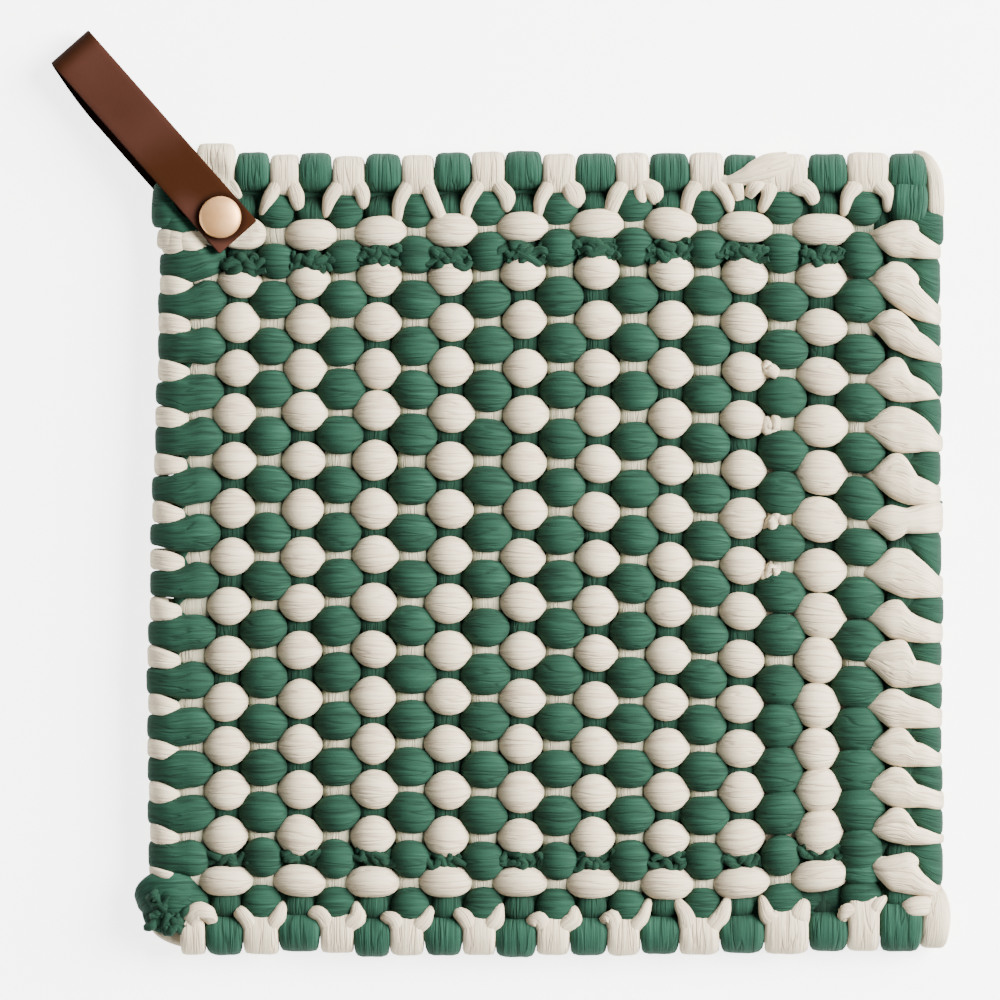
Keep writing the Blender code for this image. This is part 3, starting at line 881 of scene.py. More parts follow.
def warp(c):
    count = 2 * (LAST_WEFT + 1) * WARP_STEPS
    wide = CREAM_WARP_WIDE if c % 2 == 0 else GREEN_WARP_WIDE
    if c == FIRST_WARP:
        wide = FIRST_WARP_WIDE
    stops = []
    for k in range(count + 1):
        r = (LAST_WEFT + 1) * (1 - 2 * k / count)
        place = plan(c, r)
        tie = cos(pi * (c + r))
        rise = LAST_RISE if abs(round(r)) == LAST_WEFT else 0.0
        if is_closed(c, round(r)):
            rise = -CLOSED_DROP
        place.z = MIDDLE_Z + WARP_SWING * tie + max(0.0, tie) * rise
        stops.append((place, wide * (1 + TIE_WIDER * max(0.0, tie)), WARP_DEEP))
    return stops


cream_warps, green_warps = Bundle("cream_warps"), Bundle("green_warps")
for c in range(FIRST_WARP, LAST_WARP + 1):
    bundle = cream_warps if c % 2 == 0 else green_warps
    bundle.lay(warp(c), ACROSS_WARP, crimp=WARP_CRIMP)
cream_warps = cream_warps.make(CREAM_WARP, "cotton_cream", WARP_SIDES)
green_warps = green_warps.make(GREEN_WARP, "cotton_green", WARP_SIDES)

# %% [markdown]
# ## The bound edges
# At the top and the bottom each warp's loop is drawn over the rim and through its neighbour, which
# leaves a row of square blocks. Under a cream block two thin legs run down beside the next bead.
# A block is one thick strand from the back, over the rim and down again on the front.

# %% Edge loops
# Where one block ends and the next begins, from left to right, in mm.
TOP_SEAMS = (-92.6, -82.6, -73.9, -66.5, -58.2, -49.8, -40.7, -32.4, -22.9, -14.4, -5.1, 3.5, 13.5,
             22.1, 32.1, 41.0, 49.6, 62.2, 72.1, 82.7, 92.1)  # fmt: skip
FOOT_SEAMS = (-96.6, -90.1, -80.7, -71.6, -61.2, -52.6, -43.6, -34.8, -25.3, -16.7, -6.6, 2.0, 11.4,
              19.9, 29.6, 40.0, 51.1, 62.5, 72.1, 80.5, 90.8)  # fmt: skip
# A block from the back, over the rim and down the front: how far in from the rim and how high, in
# mm, its width as a share of its place, and its half depth in mm.
GREEN_BLOCK = (
    (12.0, 2.2, 0.60, 1.5), (9.0, 2.2, 0.75, 1.9), (6.0, 2.5, 0.85, 2.3), (3.0, 3.6, 0.92, 2.7),
    (2.7, 6.4, 0.95, 2.7), (4.4, 8.3, 1.03, 2.6), (6.4, 8.2, 1.05, 2.5), (7.8, 7.0, 0.98, 2.2),
    (8.6, 5.2, 0.80, 1.6),
)  # fmt: skip
CREAM_BLOCK = (
    (12.0, 2.2, 0.65, 1.5), (9.0, 2.2, 0.80, 1.9), (6.0, 2.5, 0.88, 2.3), (3.0, 3.6, 0.94, 2.7),
    (2.6, 6.5, 0.97, 2.7), (4.4, 8.5, 0.98, 2.6), (6.6, 8.6, 0.95, 2.4), (8.4, 8.0, 0.86, 2.1),
    (9.6, 6.6, 0.70, 1.6),
)  # fmt: skip
# The legs of each cream block, by warp: two stops of (right, up, half width) on the way down, in mm
# from the middle of the block's foot. A leg comes out of the block, on that side.
TOP_LEGS = {
    -10: (((3.8, 0.2, 1.7), (5.3, -1.8, 1.2)),),
    -8: (((-3.8, -3.0, 1.8), (-5.3, -6.1, 1.2)), ((3.0, -2.3, 2.0), (3.4, -4.6, 1.6))),
    -6: (((-4.6, -2.8, 1.8), (-5.6, -6.2, 1.2)), ((3.5, -1.8, 1.9), (3.6, -4.2, 1.5))),
    -4: (((-4.6, -3.8, 1.7), (-5.1, -7.8, 1.3)), ((4.1, -4.0, 1.9), (6.1, -8.2, 1.5))),
    -2: (((-5.1, -3.8, 1.8), (-5.6, -6.8, 1.3)), ((4.6, -2.3, 2.2), (4.7, -4.8, 1.7))),
    0: (((-4.6, -3.3, 1.7), (-5.1, -6.5, 1.2)), ((3.6, -1.4, 2.8), (4.4, -3.8, 2.4))),
    2: (((-4.0, -2.0, 2.2), (-5.5, -6.0, 1.8)), ((1.9, -1.9, 1.6), (2.4, -3.6, 1.4)),
        ((5.2, -0.6, 2.3), (5.9, -2.8, 2.0))),
    4: (((-4.3, -2.0, 1.8), (-5.1, -5.8, 1.6)), ((4.8, -2.0, 1.9), (5.8, -5.0, 1.4))),
    6: (((-3.8, -2.1, 1.8), (-5.0, -5.0, 1.4)), ((6.3, -0.8, 2.2), (7.8, -3.4, 1.7))),
    8: (((-5.1, -2.3, 1.8), (-5.8, -5.8, 1.3)), ((5.1, -2.0, 1.9), (5.2, -4.8, 1.5))),
}  # fmt: skip
FOOT_LEGS = {
    -8: (((-3.6, 1.4, 1.9), (-5.2, 3.2, 1.9)), ((4.3, 2.0, 2.0), (5.2, 4.3, 1.4))),
    -6: (((-3.8, 2.5, 2.0), (-5.8, 3.2, 1.9)), ((5.1, 1.8, 2.3), (4.8, 4.3, 1.4))),
    -4: (((-3.3, 1.3, 1.9), (-5.1, 1.9, 1.7)), ((4.3, 0.8, 1.9), (5.6, 3.2, 1.3))),
    -2: (((-3.5, 1.8, 2.1), (-5.1, 3.0, 1.7)), ((4.3, 1.3, 2.1), (5.1, 4.0, 1.3))),
    0: (((-3.3, 1.3, 2.1), (-5.1, 1.2, 2.0)), ((5.1, 1.2, 2.3), (5.3, 3.3, 1.5))),
    2: (((-2.8, 2.0, 2.1), (-4.4, 1.6, 2.0)), ((4.6, 1.8, 1.7), (5.9, 5.0, 1.2))),
    4: (((-3.5, 2.5, 2.1), (-5.2, 5.2, 1.5)), ((5.6, 2.5, 2.1), (6.8, 5.6, 1.3))),
    6: (((-4.8, 0.5, 2.2), (-5.8, 3.8, 1.4)), ((3.4, 0.8, 2.6), (4.2, 3.0, 1.9))),
    8: (((-4.7, -0.9, 1.9), (-5.2, -2.6, 1.6)), ((3.6, 1.0, 1.6), (4.9, 1.9, 1.0))),
}
LEG_HEIGHTS, LEG_DEEP = (9.6, 8.4), 1.5
# It starts inside the block: how far to its side, as a share of the block, then how far out to the
# rim, how high and the half depth, in mm. Its half width there is a share of the block's width.
LEG_ROOTS, LEG_ROOT_WIDE = ((0.22, 4.0, 8.0, 1.3), (0.28, 0.8, 9.3, LEG_DEEP)), 0.22
LEG_END_HEIGHT, LEG_END_WIDE, LEG_END_DEEP = 5.5, 0.7, 0.8
TOP_FOOT_Y, FOOT_FOOT_Y = 93.2, -93.6
# A few blocks reach further in than the rest, by mm.
LONGER = {(6, -1): 2.0, (8, -1): 4.3, (9, -1): 3.0}
# And one stands further out over the rim.
PROUD = {(-10, 1): 2.2}
INNER_FROM, INNER_FADE = 3, 5  # a block's inner part begins so many mm in, over so many mm
FRONT_FROM, BLOCK_UNEVEN = 6, 0.4  # the height of its front, and how uneven blocks are, in mm
BLOCK_CRIMP, BLOCK_SQUARE, EDGE_SIDES = 2.0, 0.7, 24


def seams(c, up):
    """Where a block begins and ends, in x."""
    n = c - FIRST_WARP
    table = TOP_SEAMS if up > 0 else FOOT_SEAMS
    return table[n] * MM, table[n + 1] * MM


def block(c, up):
    """The stops of the block over warp c. up is 1 at the top and -1 at the bottom."""
    left, right = seams(c, up)
    rim = Vector(((left + right) / 2, plan(c, TOP_RIM if up > 0 else BOTTOM_RIM).y, 0))
    stops = []
    for inwards, height, share, deep in CREAM_BLOCK if c % 2 == 0 else GREEN_BLOCK:
        inner = smooth_step((inwards - INNER_FROM) / INNER_FADE)
        if height > FRONT_FROM:
            inwards += LONGER.get((c, up), 0) * inner
        inwards -= PROUD.get((c, up), 0) * (1 - inner)
        inwards += BLOCK_UNEVEN * chance(c, up * 3, 8)
        place = rim - Vector((0, up * inwards * MM, -height * MM))
        stops.append((place, share * (right - left) / 2, deep * MM))
    return stops


def leg(table, c, up):
    """The stops of a leg that comes out of the block over warp c."""
    left, right = seams(c, up)
    width = right - left
    side = 1 if table[0][0] > 0 else -1
    foot_y = (TOP_FOOT_Y if up > 0 else FOOT_FOOT_Y) - up * LONGER.get((c, up), 0)
    foot = Vector(((left + right) / 2, foot_y * MM, 0))
    stops = []
    for aside, up_by, height, deep in LEG_ROOTS:
        root = foot + Vector((aside * side * width, up * up_by * MM, height * MM))
        stops.append((root, LEG_ROOT_WIDE * width, deep * MM))
    for (right_by, up_by, wide), height in zip(table, LEG_HEIGHTS):
        stops.append((foot + Vector((right_by, up_by, height)) * MM, wide * MM, LEG_DEEP * MM))
    last, before = stops[-1][0], stops[-2][0]
    away = (last - before).normalized() * MM
    tip = Vector((last.x + away.x, last.y + away.y, LEG_END_HEIGHT * MM))
    return stops + [(tip, LEG_END_WIDE * stops[-1][1], LEG_END_DEEP * MM)]


cream_edges, green_edges = Bundle("cream_edges"), Bundle("green_edges")
for c in range(FIRST_WARP, LAST_WARP + 1):
    for up, legs in ((1, TOP_LEGS), (-1, FOOT_LEGS)):
        bundle = cream_edges if c % 2 == 0 else green_edges
        stops = rounded(block(c, up), 3)
        bundle.lay(stops, ACROSS_WARP, crimp=BLOCK_CRIMP, square=BLOCK_SQUARE)
        for table in legs.get(c, ()):
            cream_edges.lay(rounded(leg(table, c, up)))

# %% [markdown]
# ## What lies under the rims
# A gap between two loops at the rim shows more green cotton and never the table, because the loops
# lie on the turned-in ends of others. Four plain strands stand for those. Thin ones between the
# warps fill the corners where four strands meet.

# %% Strands under the rims
CORE_R, CORE_RIGHT_C, CORE_LEFT_C = 15.75, 9.42, -10.35
CORE_Z, CORE_LEFT_Z, CORE_WIDE, CORE_DEEP = 5.0 * MM, 6.2 * MM, 2.4 * MM, 2.2 * MM
for up in (1, -1):
    core = [plan(c, up * CORE_R) + Vector((0, 0, CORE_Z)) for c in range(FIRST_WARP, LAST_WARP + 1)]
    green_edges.lay([(place, CORE_WIDE, CORE_DEEP) for place in core], ACROSS_WEFT)
for c, height in ((CORE_LEFT_C, CORE_LEFT_Z), (CORE_RIGHT_C, CORE_Z)):
    core = [plan(c, r) + Vector((0, 0, height)) for r in range(LAST_WEFT, -LAST_WEFT - 1, -1)]
    green_edges.lay([(place, CORE_WIDE, CORE_DEEP) for place in core], ACROSS_WARP)
FILL_WIDE, FILL_DEEP = 1.6 * MM, 1.1 * MM
for c in range(FIRST_WARP, LAST_WARP):
    fill = [plan(c + 0.5, r) for r in range(LAST_WEFT + 1, -LAST_WEFT - 2, -1)]
    fill = [(place + Vector((0, 0, MIDDLE_Z)), FILL_WIDE, FILL_DEEP) for place in fill]
    green_edges.lay(fill, ACROSS_WARP)
print("at the rims so far", cream_edges.strands, "cream strands and", green_edges.strands, "green ones")

# %% [markdown]
# ## The corners
# No rule covers the corners, where the last loops are tucked in. Their few strands are laid one
# by one, each through a handful of points.

# %% Corner strands
CORNER_SQUARE = 0.4
# x, y, height, half width and half depth, in mm.
CORNER_STRANDS = {
    "cream": (
        # top right, outside the last block
        ((89.6, 100.6, 3.6, 1.2, 2.6), (92.6, 99.2, 5.3, 1.8, 3.5), (94.2, 95.8, 5.8, 2.2, 3.8),
         (94.5, 91.5, 5.9, 2.3, 3.9), (94.3, 88.4, 5.1, 2.4, 3.6), (94.2, 86.9, 3.6, 2.0, 2.6)),
        # bottom right: down the side, and the lump beside it
        ((93.6, -83.6, 5.4, 1.4, 1.4), (94.6, -86.6, 7.0, 2.8, 2.3), (94.8, -90.0, 7.6, 3.5, 2.8),
         (94.5, -94.0, 7.2, 3.7, 2.9), (94.1, -97.0, 5.4, 3.5, 2.6), (93.8, -97.0, 3.2, 3.1, 2.2),
         (93.2, -93.5, 2.0, 2.4, 1.6)),
        ((94.0, -89.2, 7.2, 2.4, 2.0), (91.0, -88.8, 8.7, 2.6, 2.2), (88.4, -89.2, 8.8, 2.4, 2.1),
         (86.6, -90.0, 7.4, 1.6, 1.6)),
        # bottom left: along the rim, and the hook over the first block
        ((-104.3, -91.4, 4.2, 0.4, 0.5), (-103.2, -93.6, 4.4, 1.4, 1.6), (-101.2, -95.2, 5.0, 2.0, 2.2),
         (-97.6, -96.6, 5.6, 2.3, 2.3), (-93.6, -97.3, 5.2, 2.4, 2.2)),
        ((-93.9, -95.0, 8.0, 2.2, 1.6), (-93.7, -91.8, 9.3, 2.4, 1.8), (-92.0, -89.9, 9.9, 2.3, 1.9),
         (-89.8, -90.6, 9.8, 2.0, 1.8), (-88.4, -92.6, 8.6, 1.4, 1.4)),
        # top: the fold that leans left over its neighbour, the band under it and two short ends
        ((57.0, 99.5, 9.0, 2.6, 2.2), (52.5, 98.4, 10.0, 3.2, 2.2), (48.8, 97.0, 10.3, 2.7, 2.1),
         (46.3, 95.9, 10.2, 2.0, 1.9), (42.5, 94.8, 9.4, 1.4, 1.6), (39.5, 94.4, 8.0, 1.2, 1.2)),
        ((38.0, 94.4, 8.8, 1.2, 1.4), (43.3, 95.0, 9.4, 1.4, 1.5), (50.0, 94.8, 9.6, 1.6, 1.5),
         (55.0, 94.6, 9.0, 1.4, 1.4)),
        ((43.3, 95.4, 9.0, 1.6, 1.4), (44.2, 92.8, 9.9, 1.7, 1.5), (44.8, 90.3, 8.6, 1.2, 1.2)),
        ((50.4, 95.2, 9.2, 2.0, 1.4), (48.6, 93.2, 10.0, 1.9, 1.6), (47.4, 91.0, 8.6, 1.2, 1.2)),
        # top left, under the strap
        ((-88.0, 79.2, 7.6, 2.6, 2.0), (-91.6, 79.2, 9.2, 3.2, 2.4), (-95.0, 79.2, 9.0, 2.7, 2.3),
         (-97.2, 79.6, 8.4, 2.1, 2.1), (-99.2, 79.9, 8.0, 2.6, 2.3), (-100.5, 80.0, 6.0, 2.6, 2.2),
         (-100.4, 80.0, 3.4, 2.4, 1.8)),
    ),
    "green": (
        # top right, the second half of the last block
        ((88.5, 94.5, 5.0, 3.6, 1.8), (87.9, 92.0, 8.4, 4.6, 2.5), (87.8, 88.4, 8.6, 4.7, 2.5),
         (87.6, 85.0, 6.6, 4.0, 1.8)),
        # top left, the upper half of the first bar
        ((-92.0, 88.2, 6.0, 3.8, 2.4), (-96.0, 88.4, 7.6, 5.3, 2.8), (-99.6, 88.6, 7.4, 5.8, 2.8),
         (-101.6, 88.7, 5.4, 5.8, 2.5), (-101.0, 88.7, 3.2, 5.0, 2.0)),
        # bottom right, over the last neck of the closed columns
        ((71.6, -80.4, 7.4, 1.8, 1.5), (74.0, -80.6, 8.8, 2.5, 1.9), (77.4, -80.8, 8.8, 2.5, 1.9),
         (79.8, -81.0, 7.4, 1.8, 1.5)),
        # bottom left, the last bar and what lies under its knot
        ((-92.0, -84.6, 5.5, 2.8, 2.4), (-97.0, -84.6, 8.0, 4.4, 3.0), (-101.6, -85.0, 7.6, 5.0, 3.0),
         (-104.5, -86.8, 6.2, 4.1, 2.8), (-104.9, -89.6, 4.2, 2.7, 2.3)),
        ((-104.0, -89.6, 4.6, 2.4, 2.2), (-102.6, -92.4, 6.0, 2.8, 2.4), (-98.6, -93.2, 6.4, 2.8, 2.4),
         (-94.6, -92.0, 5.6, 2.2, 1.9)),
        # bottom right, under the cream strand that goes down the side
        ((91.2, -82.6, 3.4, 1.8, 2.2), (92.4, -86.0, 3.5, 2.5, 2.9), (92.7, -90.0, 3.6, 2.8, 3.0),
         (91.5, -93.4, 3.5, 2.6, 2.8), (87.8, -94.6, 3.2, 1.8, 2.2)),
    ),
}  # fmt: skip
for colour, bundle in (("cream", cream_edges), ("green", green_edges)):
    for table in CORNER_STRANDS[colour]:
        stops = [(Vector((x, y, z)) * MM, wide * MM, deep * MM) for x, y, z, wide, deep in table]
        bundle.lay(rounded(stops), square=CORNER_SQUARE)
cream_edges = cream_edges.make(CREAM, "cotton_cream", EDGE_SIDES)
green_edges = green_edges.make(GREEN_EDGE, "cotton_green", EDGE_SIDES)

# %% [markdown]
# ## The knots
# Loops were tied on where a thread ran out. Those knots are small crumpled strands: green ones,
# darkened with painted shade, in a row under the first cream beads and over the last, and a few
# cream ones on the right.

# %% Knots
# A thread wanders over a small place: the width and height of that place, its level, and the half
# width of the thread, in mm.
CORNER_THREAD, CREAM_THREADS = (5.5, 1.6, 10.3, 1.2), ((3.5, 1.8, 9.0, 1.6), (2.5, 2.2, 8.4, 1.4))
# Each row: how many wefts up, how many threads a knot has, and what one is like.
KNOT_ROWS = ((12.85, 9, (9.5, 1.3, 9.9, 1.2)), (-12.95, 5, (9.5, 1.3, 9.0, 1.1)))
KNOT_DROP = {-9: 0.9}  # mm
ROW_SPREAD, CORNER_SPREAD = (2.0, 1.5), (2.6, 3.4)  # of the threads' places, in mm
CORNER_KNOT, CORNER_COUNT = Vector((-99.9, -90.4, 0)) * MM, 14
CREAM_KNOTS = ((52.6, 46.0), (52.6, 33.0), (54.0, 8.4), (53.0, -4.2), (-93.5, 79.0), (-96.2, -90.4))
CURL_STOPS, CURL_STEP, CURL_FLAT = 7, 1.3, 0.85
CURL_ASIDE, CURL_RISE = 0.8 * MM, 1.0 * MM
KNOT_SIDES = 14


def curl(centre, sizes, seed):
    """A thread that wanders from side to side across a small place."""
    width, height, level, wide = (size * MM for size in sizes)
    stops = []
    for k in range(CURL_STOPS):
        aside, up, rise = (chance(seed, k * CURL_STEP, n) for n in (1, 2, 3))
        x = (k / (CURL_STOPS - 1) - 0.5) * width + CURL_ASIDE * aside
        place = centre + Vector((x, height * up, level + CURL_RISE * rise))
        full = 0.5 + 0.5 * sin(pi * (k + 0.5) / CURL_STOPS)
        stops.append((place, wide * full, CURL_FLAT * wide * full))
    return rounded(stops)


green_knots, cream_knots = Bundle("green_knots"), Bundle("cream_knots")
for r, threads, sizes in KNOT_ROWS:
    for c in range(FIRST_WARP + 1, LAST_WARP, 2):
        drop = KNOT_DROP.get(c, 0) if r > 0 else 0
        for n in range(threads):
            seed = c * 3.3 + n * 7.7 + r
            aside, up = ROW_SPREAD[0] * chance(seed, 4, 4), ROW_SPREAD[1] * chance(seed, 5, 5) - drop
            green_knots.lay(curl(plan(c, r) + Vector((aside, up, 0)) * MM, sizes, seed))
for n in range(CORNER_COUNT):
    aside, up = CORNER_SPREAD[0] * chance(n, 3, 4), CORNER_SPREAD[1] * chance(n, 5, 6)
    centre = CORNER_KNOT + Vector((aside, up, 0)) * MM
    green_knots.lay(curl(centre, CORNER_THREAD, n * 4.4 + 1))
for n, (x, y) in enumerate(CREAM_KNOTS):
    centre = Vector((x, y, 0)) * MM
    for sizes, seed in zip(CREAM_THREADS, (n * 5.1, n * 9.7 + 2)):
        cream_knots.lay(curl(centre, sizes, seed))
green_knots = green_knots.make(GREEN_KNOT, "cotton_green", KNOT_SIDES)
cream_knots = cream_knots.make(CREAM, "cotton_cream", KNOT_SIDES)

# %% [markdown]
# ## The cloth
# All the strands are one woven sheet, which lies on the table.

# %% [markdown]
# ## The leather loop
# A strap of thick leather, folded in half. Its section, a flat bar with rounded corners, is swept
# along the folded line, and a hole is then cut through both legs for the rivet's post. Its colour
# has painted shade round the rivet and at the fold, and a painted sheen, lighter, between them.
# Its inner face is near black, with painted shade under the front leg.

# %% Leather
LEATHER_DARK, LEATHER_LIGHT = (0.030, 0.0095, 0.0036), (0.054, 0.0205, 0.0140)
LEATHER_SHADE, SHADE_SHARE = (0.008, 0.003, 0.0015), 0.7
# From where to where it fades, along the strap from the rivet, or off it.
# Painted sheen: lighter between SHEEN_IN and SHEEN_OUT and beside the rivet. Painted shade: darker round
# the rivet and at the fold.
SHEEN_IN, SHEEN_OUT, SHEEN_SHARE = (16 * MM, 30 * MM), (52 * MM, 58 * MM), 0.75
RIVET_SHEEN_ALONG, RIVET_SHEEN_ASIDE = (4 * MM, 16 * MM), (-2 * MM, 5 * MM)
RIVET_SHADOW, FOLD_SHADE = (5.4 * MM, 7.2 * MM), (55.5 * MM, 58.5 * MM)
CLOUD_COUNT, CLOUD_SHARE, PORE_COUNT = 60.0, 0.7, 1400.0


def leather():
    material, make, shader = new_material("brown leather", {"Roughness": 0.8, "Specular IOR Level": 0.03})
    place = make.add("ShaderNodeTexCoord", out="Object")
    from_rivet = make.vector("SUBTRACT", place, tuple(RIVET_AT))
    along = make.vector("DOT_PRODUCT", from_rivet, tuple(STRAP_ALONG), out=1)
    aside = make.vector("DOT_PRODUCT", from_rivet, tuple(STRAP_ACROSS), out=1)
    off_rivet = make.vector("LENGTH", make.vector("MULTIPLY", from_rivet, (1.0, 1.0, 0.0)), out=1)
    clouds = (make.noise(place, CLOUD_COUNT, detail=3.0) - 0.5) * CLOUD_SHARE
    # Painted sheen along the strap and beside the rivet, mixed with random clouds of tone.
    painted_sheen = make.step(along, *SHEEN_IN) * (1.0 - make.step(along, *SHEEN_OUT)) * SHEEN_SHARE
    rivet_sheen = (1.0 - make.step(along, *RIVET_SHEEN_ALONG)) * make.step(aside, *RIVET_SHEEN_ASIDE)
    share = make.step(painted_sheen + rivet_sheen + clouds, 0.0, 1.0)
    plain = make.blend(share, (*LEATHER_DARK, 1), (*LEATHER_LIGHT, 1))
    # Painted shade: darker round the rivet, where the cap shades the leather, and at the fold, where the
    # strap turns away from the light.
    shaded = make.math("MAXIMUM", 1.0 - make.step(off_rivet, *RIVET_SHADOW), make.step(along, *FOLD_SHADE))
    make.feed(shader, "Base Color", make.blend(shaded * SHADE_SHARE, plain, (*LEATHER_SHADE, 1)))
    pores = make.noise(place, PORE_COUNT, detail=3.0)
    bump = {"Strength": 0.2, "Distance": 0.15 * MM, "Height": pores}
    make.feed(shader, "Normal", make.add("ShaderNodeBump", bump))
    return material


def dull(name, colour):
    """A plain finish without any shine."""
    values = {"Base Color": (*colour, 1), "Roughness": 0.95, "Specular IOR Level": 0.0}
    return new_material(name, values)[0]


LEATHER = leather()
LEATHER_EDGE = dull("leather edge", (0.004, 0.0025, 0.002))
# The strap's inner face is near black: partly the leather's own darker flesh side, partly painted shade
# where the front leg shadows the back leg.
LEATHER_INSIDE_SHADE = dull("shaded inside of the leather", (0.006, 0.003, 0.002))
print("leather in 3 finishes")

# %% The strap's line
FOLD_RADIUS = 3.5 * MM
FRONT_FALL, BACK_FALL = (22 * MM, 50 * MM), (10 * MM, 34 * MM)
LEG_STEPS, FOLD_STEPS = 40, 16
END_STEP = 0.2  # a short first step, over which the cut end is rounded
BACK_LEG_OUT, BACK_LEG_REACH = 1.8 * MM, 20 * MM  # the back leg lies a little to the left
POST_HOLE = 1.8 * MM


def leg_z(along, at_rivet, at_fold, fall):
    return at_rivet + (at_fold - at_rivet) * smooth_step((along - fall[0]) / (fall[1] - fall[0]))


def swung_out(past_fold):
    return BACK_LEG_OUT * sin(pi / 2 * min(1.0, max(0.0, past_fold / BACK_LEG_REACH)))


def strap_line():
    """The leather's middle: front leg, fold, back leg. It is worked out in three measures: how far
    along from the rivet, how far sideways and how high."""
    centre = FOLD_REACH - FOLD_RADIUS - STRAP_THICK / 2
    level = FOLD_RADIUS + STRAP_THICK / 2
    line = []
    for k in (0, END_STEP, *range(1, LEG_STEPS)):
        along = STRAP_END + (centre - STRAP_END) * k / LEG_STEPS
        line.append((along, 0.0, leg_z(along, FRONT_LEG_Z, level + FOLD_RADIUS, FRONT_FALL)))
    for k in range(FOLD_STEPS + 1):
        turn = pi * k / FOLD_STEPS
        sideways = swung_out((turn - pi / 2) * FOLD_RADIUS)
        line.append((centre + FOLD_RADIUS * sin(turn), sideways, level + FOLD_RADIUS * cos(turn)))
    for k in (*range(1, LEG_STEPS), LEG_STEPS - END_STEP, LEG_STEPS):
        along = centre - (centre - STRAP_END) * k / LEG_STEPS
        sideways = swung_out(pi / 2 * FOLD_RADIUS + centre - along)
        line.append((along, sideways, leg_z(along, BACK_LEG_Z, level - FOLD_RADIUS, BACK_FALL)))
    return [RIVET_AT + STRAP_ALONG * a + STRAP_ACROSS * s + Vector((0, 0, z)) for a, s, z in line]


print("the strap's line has", len(strap_line()), "points")

# %% The strap
EDGE_ROUND, EDGE_MARGIN, EDGE_STEPS = 0.35 * MM, 1.2 * MM, 3
OUTSIDE, EDGE, INSIDE = 0, 1, 2  # the strap's materials
EDGE_SHARE = 0.6  # of the rounding, which counts as the cut edge
DRILL_SIDES, DRILL_LONG = 32, 40 * MM
STRAP_SHARP, RIVET_SHARP = 40, 50  # from this angle an edge is sharp, in degrees


def strap_section():
    """The leather's section as (across, up) points: a flat bar with rounded corners."""
    half, up = STRAP_WIDTH / 2 - EDGE_ROUND, STRAP_THICK / 2 - EDGE_ROUND
    ring = []
    for n, (side, face) in enumerate(((1, 1), (-1, 1), (-1, -1), (1, -1))):
        corner = []
        for k in range(EDGE_STEPS + 1):
            angle = pi / 2 * (n + k / EDGE_STEPS)
            corner.append((side * half + EDGE_ROUND * cos(angle), face * up + EDGE_ROUND * sin(angle)))
        margin = (side * (half - EDGE_MARGIN), face * STRAP_THICK / 2)
        ring += corner + [margin] if n % 2 == 0 else [margin] + corner
    return ring


def strap_material(a, b):
    """Which material a face between two points of the section has."""
    rounding_starts = STRAP_THICK / 2 - EDGE_SHARE * EDGE_ROUND
    if min(a[1], b[1]) > rounding_starts:
        return OUTSIDE
    return INSIDE if max(a[1], b[1]) < -rounding_starts else EDGE


def strap_skin():
    """The strap's mesh: its section, swept along its line, with both ends closed."""
    line, ring = strap_line(), strap_section()
    skin = bmesh.new()
    rows = []
    for n, middle in enumerate(line):
        ahead = line[min(n + 1, len(line) - 1)] - line[max(n - 1, 0)]
        outwards = ahead.cross(STRAP_ACROSS).normalized()
        shrink = 1 - EDGE_ROUND / STRAP_THICK if n in (0, len(line) - 1) else 1.0
        taken = (1 - shrink) * STRAP_THICK
        row = []
        for across, up in ring:
            across -= taken if across > 0 else -taken
            row.append(skin.verts.new(middle + STRAP_ACROSS * across + outwards * up * shrink))
        rows.append(row)
    for low, high in zip(rows, rows[1:]):
        for k in range(len(ring)):
            after = (k + 1) % len(ring)
            face = skin.faces.new((low[k], low[after], high[after], high[k]))
            face.material_index = strap_material(ring[k], ring[after])
    for row in (rows[0], rows[-1]):
        skin.faces.new(row).material_index = EDGE
    return skin


def finished(skin, name):
    """A bmesh as a new mesh of that name."""
    bmesh.ops.recalc_face_normals(skin, faces=skin.faces)
    mesh = bpy.data.meshes.new(name)
    skin.to_mesh(mesh)
    skin.free()
    return mesh


def declared(piece, replaced, sharp):
    """Smooths a piece's faces and says what it rides on and what it replaces."""
    for face in piece.data.polygons:
        face.use_smooth = True
    piece.data.set_sharp_from_angle(angle=radians(sharp))
    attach(piece, BODY)
    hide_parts(replaced)
    print(piece.name, len(piece.data.polygons), "faces")


strap = linked("leather_strap", finished(strap_skin(), "leather_strap"))
for material in (LEATHER, LEATHER_EDGE, LEATHER_INSIDE_SHADE):
    strap.data.materials.append(material)
drill_skin = bmesh.new()
bmesh.ops.create_cone(
    drill_skin, cap_ends=True, segments=DRILL_SIDES, radius1=POST_HOLE, radius2=POST_HOLE,
    depth=DRILL_LONG, matrix=Matrix.Translation(RIVET_AT),
)  # fmt: skip
drill = linked("drill", finished(drill_skin, "drill"))
hole = strap.modifiers.new("rivet hole", "BOOLEAN")
hole.object, hole.operation, hole.solver = drill, "DIFFERENCE", "EXACT"
strap = plain_copy(strap)
bpy.data.objects.remove(drill)
declared(strap, "leather_loop", STRAP_SHARP)

# %% [markdown]
# ## The rivet
# A domed cap of satin brass with a turned-in rim holds the strap, and a flat one closes the post
# underneath. Both are turned: a profile is spun round the post.

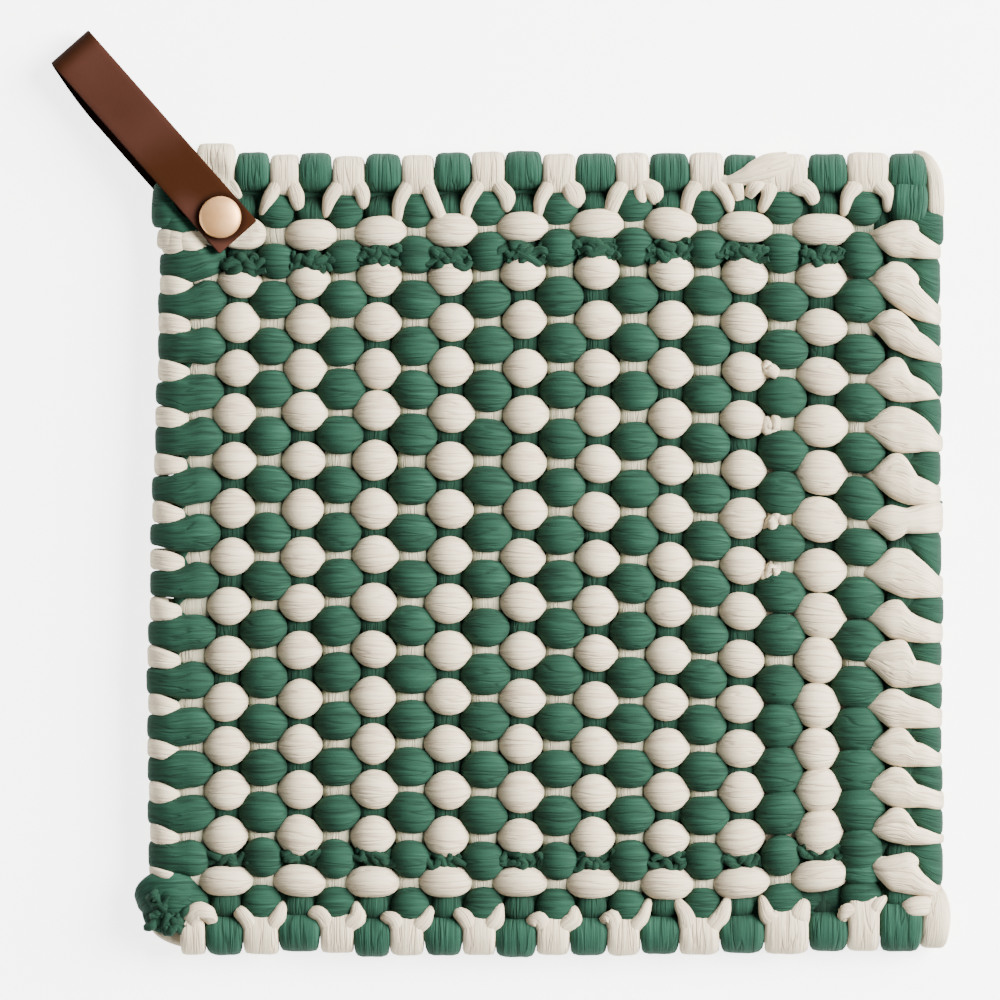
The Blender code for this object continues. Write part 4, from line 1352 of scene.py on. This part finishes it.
# %% Rivet
CAP_RADIUS, CAP_HEIGHT, CAP_LIP, DOME_STEPS = 5.3 * MM, 2.4 * MM, 0.5 * MM, 16
POST_RADIUS = 1.5 * MM
FOOT_RADIUS, FOOT_BEVEL = 4.5 * MM, (0.4 * MM, 0.3 * MM)
CLEAR = 0.3 * MM
TURNS = 72
BRASS_DARK, BRASS_LIGHT = (0.74, 0.39, 0.155), (0.81, 0.46, 0.205)


def brass():
    material, make, shader = new_material("satin brass", {"Metallic": 0.7, "Roughness": 0.5})
    wear = make.noise(make.add("ShaderNodeTexCoord", out="Object"), 300.0, detail=3.0)
    colour = make.blend(make.step(wear, 0.3, 0.7), (*BRASS_DARK, 1), (*BRASS_LIGHT, 1))
    make.feed(shader, "Base Color", colour)
    return material


BRASS = brass()


def turned(name, profile, replaced):
    """A piece spun from a profile of (radius, height), read from the top down."""
    outline = bmesh.new()
    points = [outline.verts.new((RIVET_AT.x + radius, RIVET_AT.y, height)) for radius, height in profile]
    edges = [outline.edges.new(pair) for pair in zip(points, points[1:])]
    bmesh.ops.spin(
        outline, geom=points + edges, cent=RIVET_AT, axis=(0, 0, 1), angle=2 * pi, steps=TURNS,
        use_merge=True,
    )  # fmt: skip
    bmesh.ops.remove_doubles(outline, verts=outline.verts, dist=0.01 * MM)
    piece = linked(name, finished(outline, name))
    piece.data.materials.append(BRASS)
    declared(piece, replaced, RIVET_SHARP)


cap_z = FRONT_LEG_Z + STRAP_THICK / 2 + CLEAR
foot_top = BACK_LEG_Z - STRAP_THICK / 2 - CLEAR
dome = []
for k in range(DOME_STEPS + 1):
    turn = pi / 2 * k / DOME_STEPS
    dome.append((CAP_RADIUS * sin(turn), cap_z + CAP_LIP + (CAP_HEIGHT - CAP_LIP) * cos(turn)))
lip = [(CAP_RADIUS * 0.99, cap_z + 0.2 * MM), (CAP_RADIUS * 0.96, cap_z), (POST_RADIUS, cap_z)]
post = [(POST_RADIUS, foot_top + CLEAR), (0, foot_top + CLEAR)]
turned("rivet_head", dome + lip + post, "rivet_cap")
top_edge = [(0, foot_top), (FOOT_RADIUS - FOOT_BEVEL[0], foot_top), (FOOT_RADIUS, foot_top - FOOT_BEVEL[1])]
bottom_edge = [(FOOT_RADIUS, 0.1 * MM), (FOOT_RADIUS - 0.1 * MM, 0), (0, 0)]
turned("rivet_foot", top_edge + bottom_edge, "rivet_back")
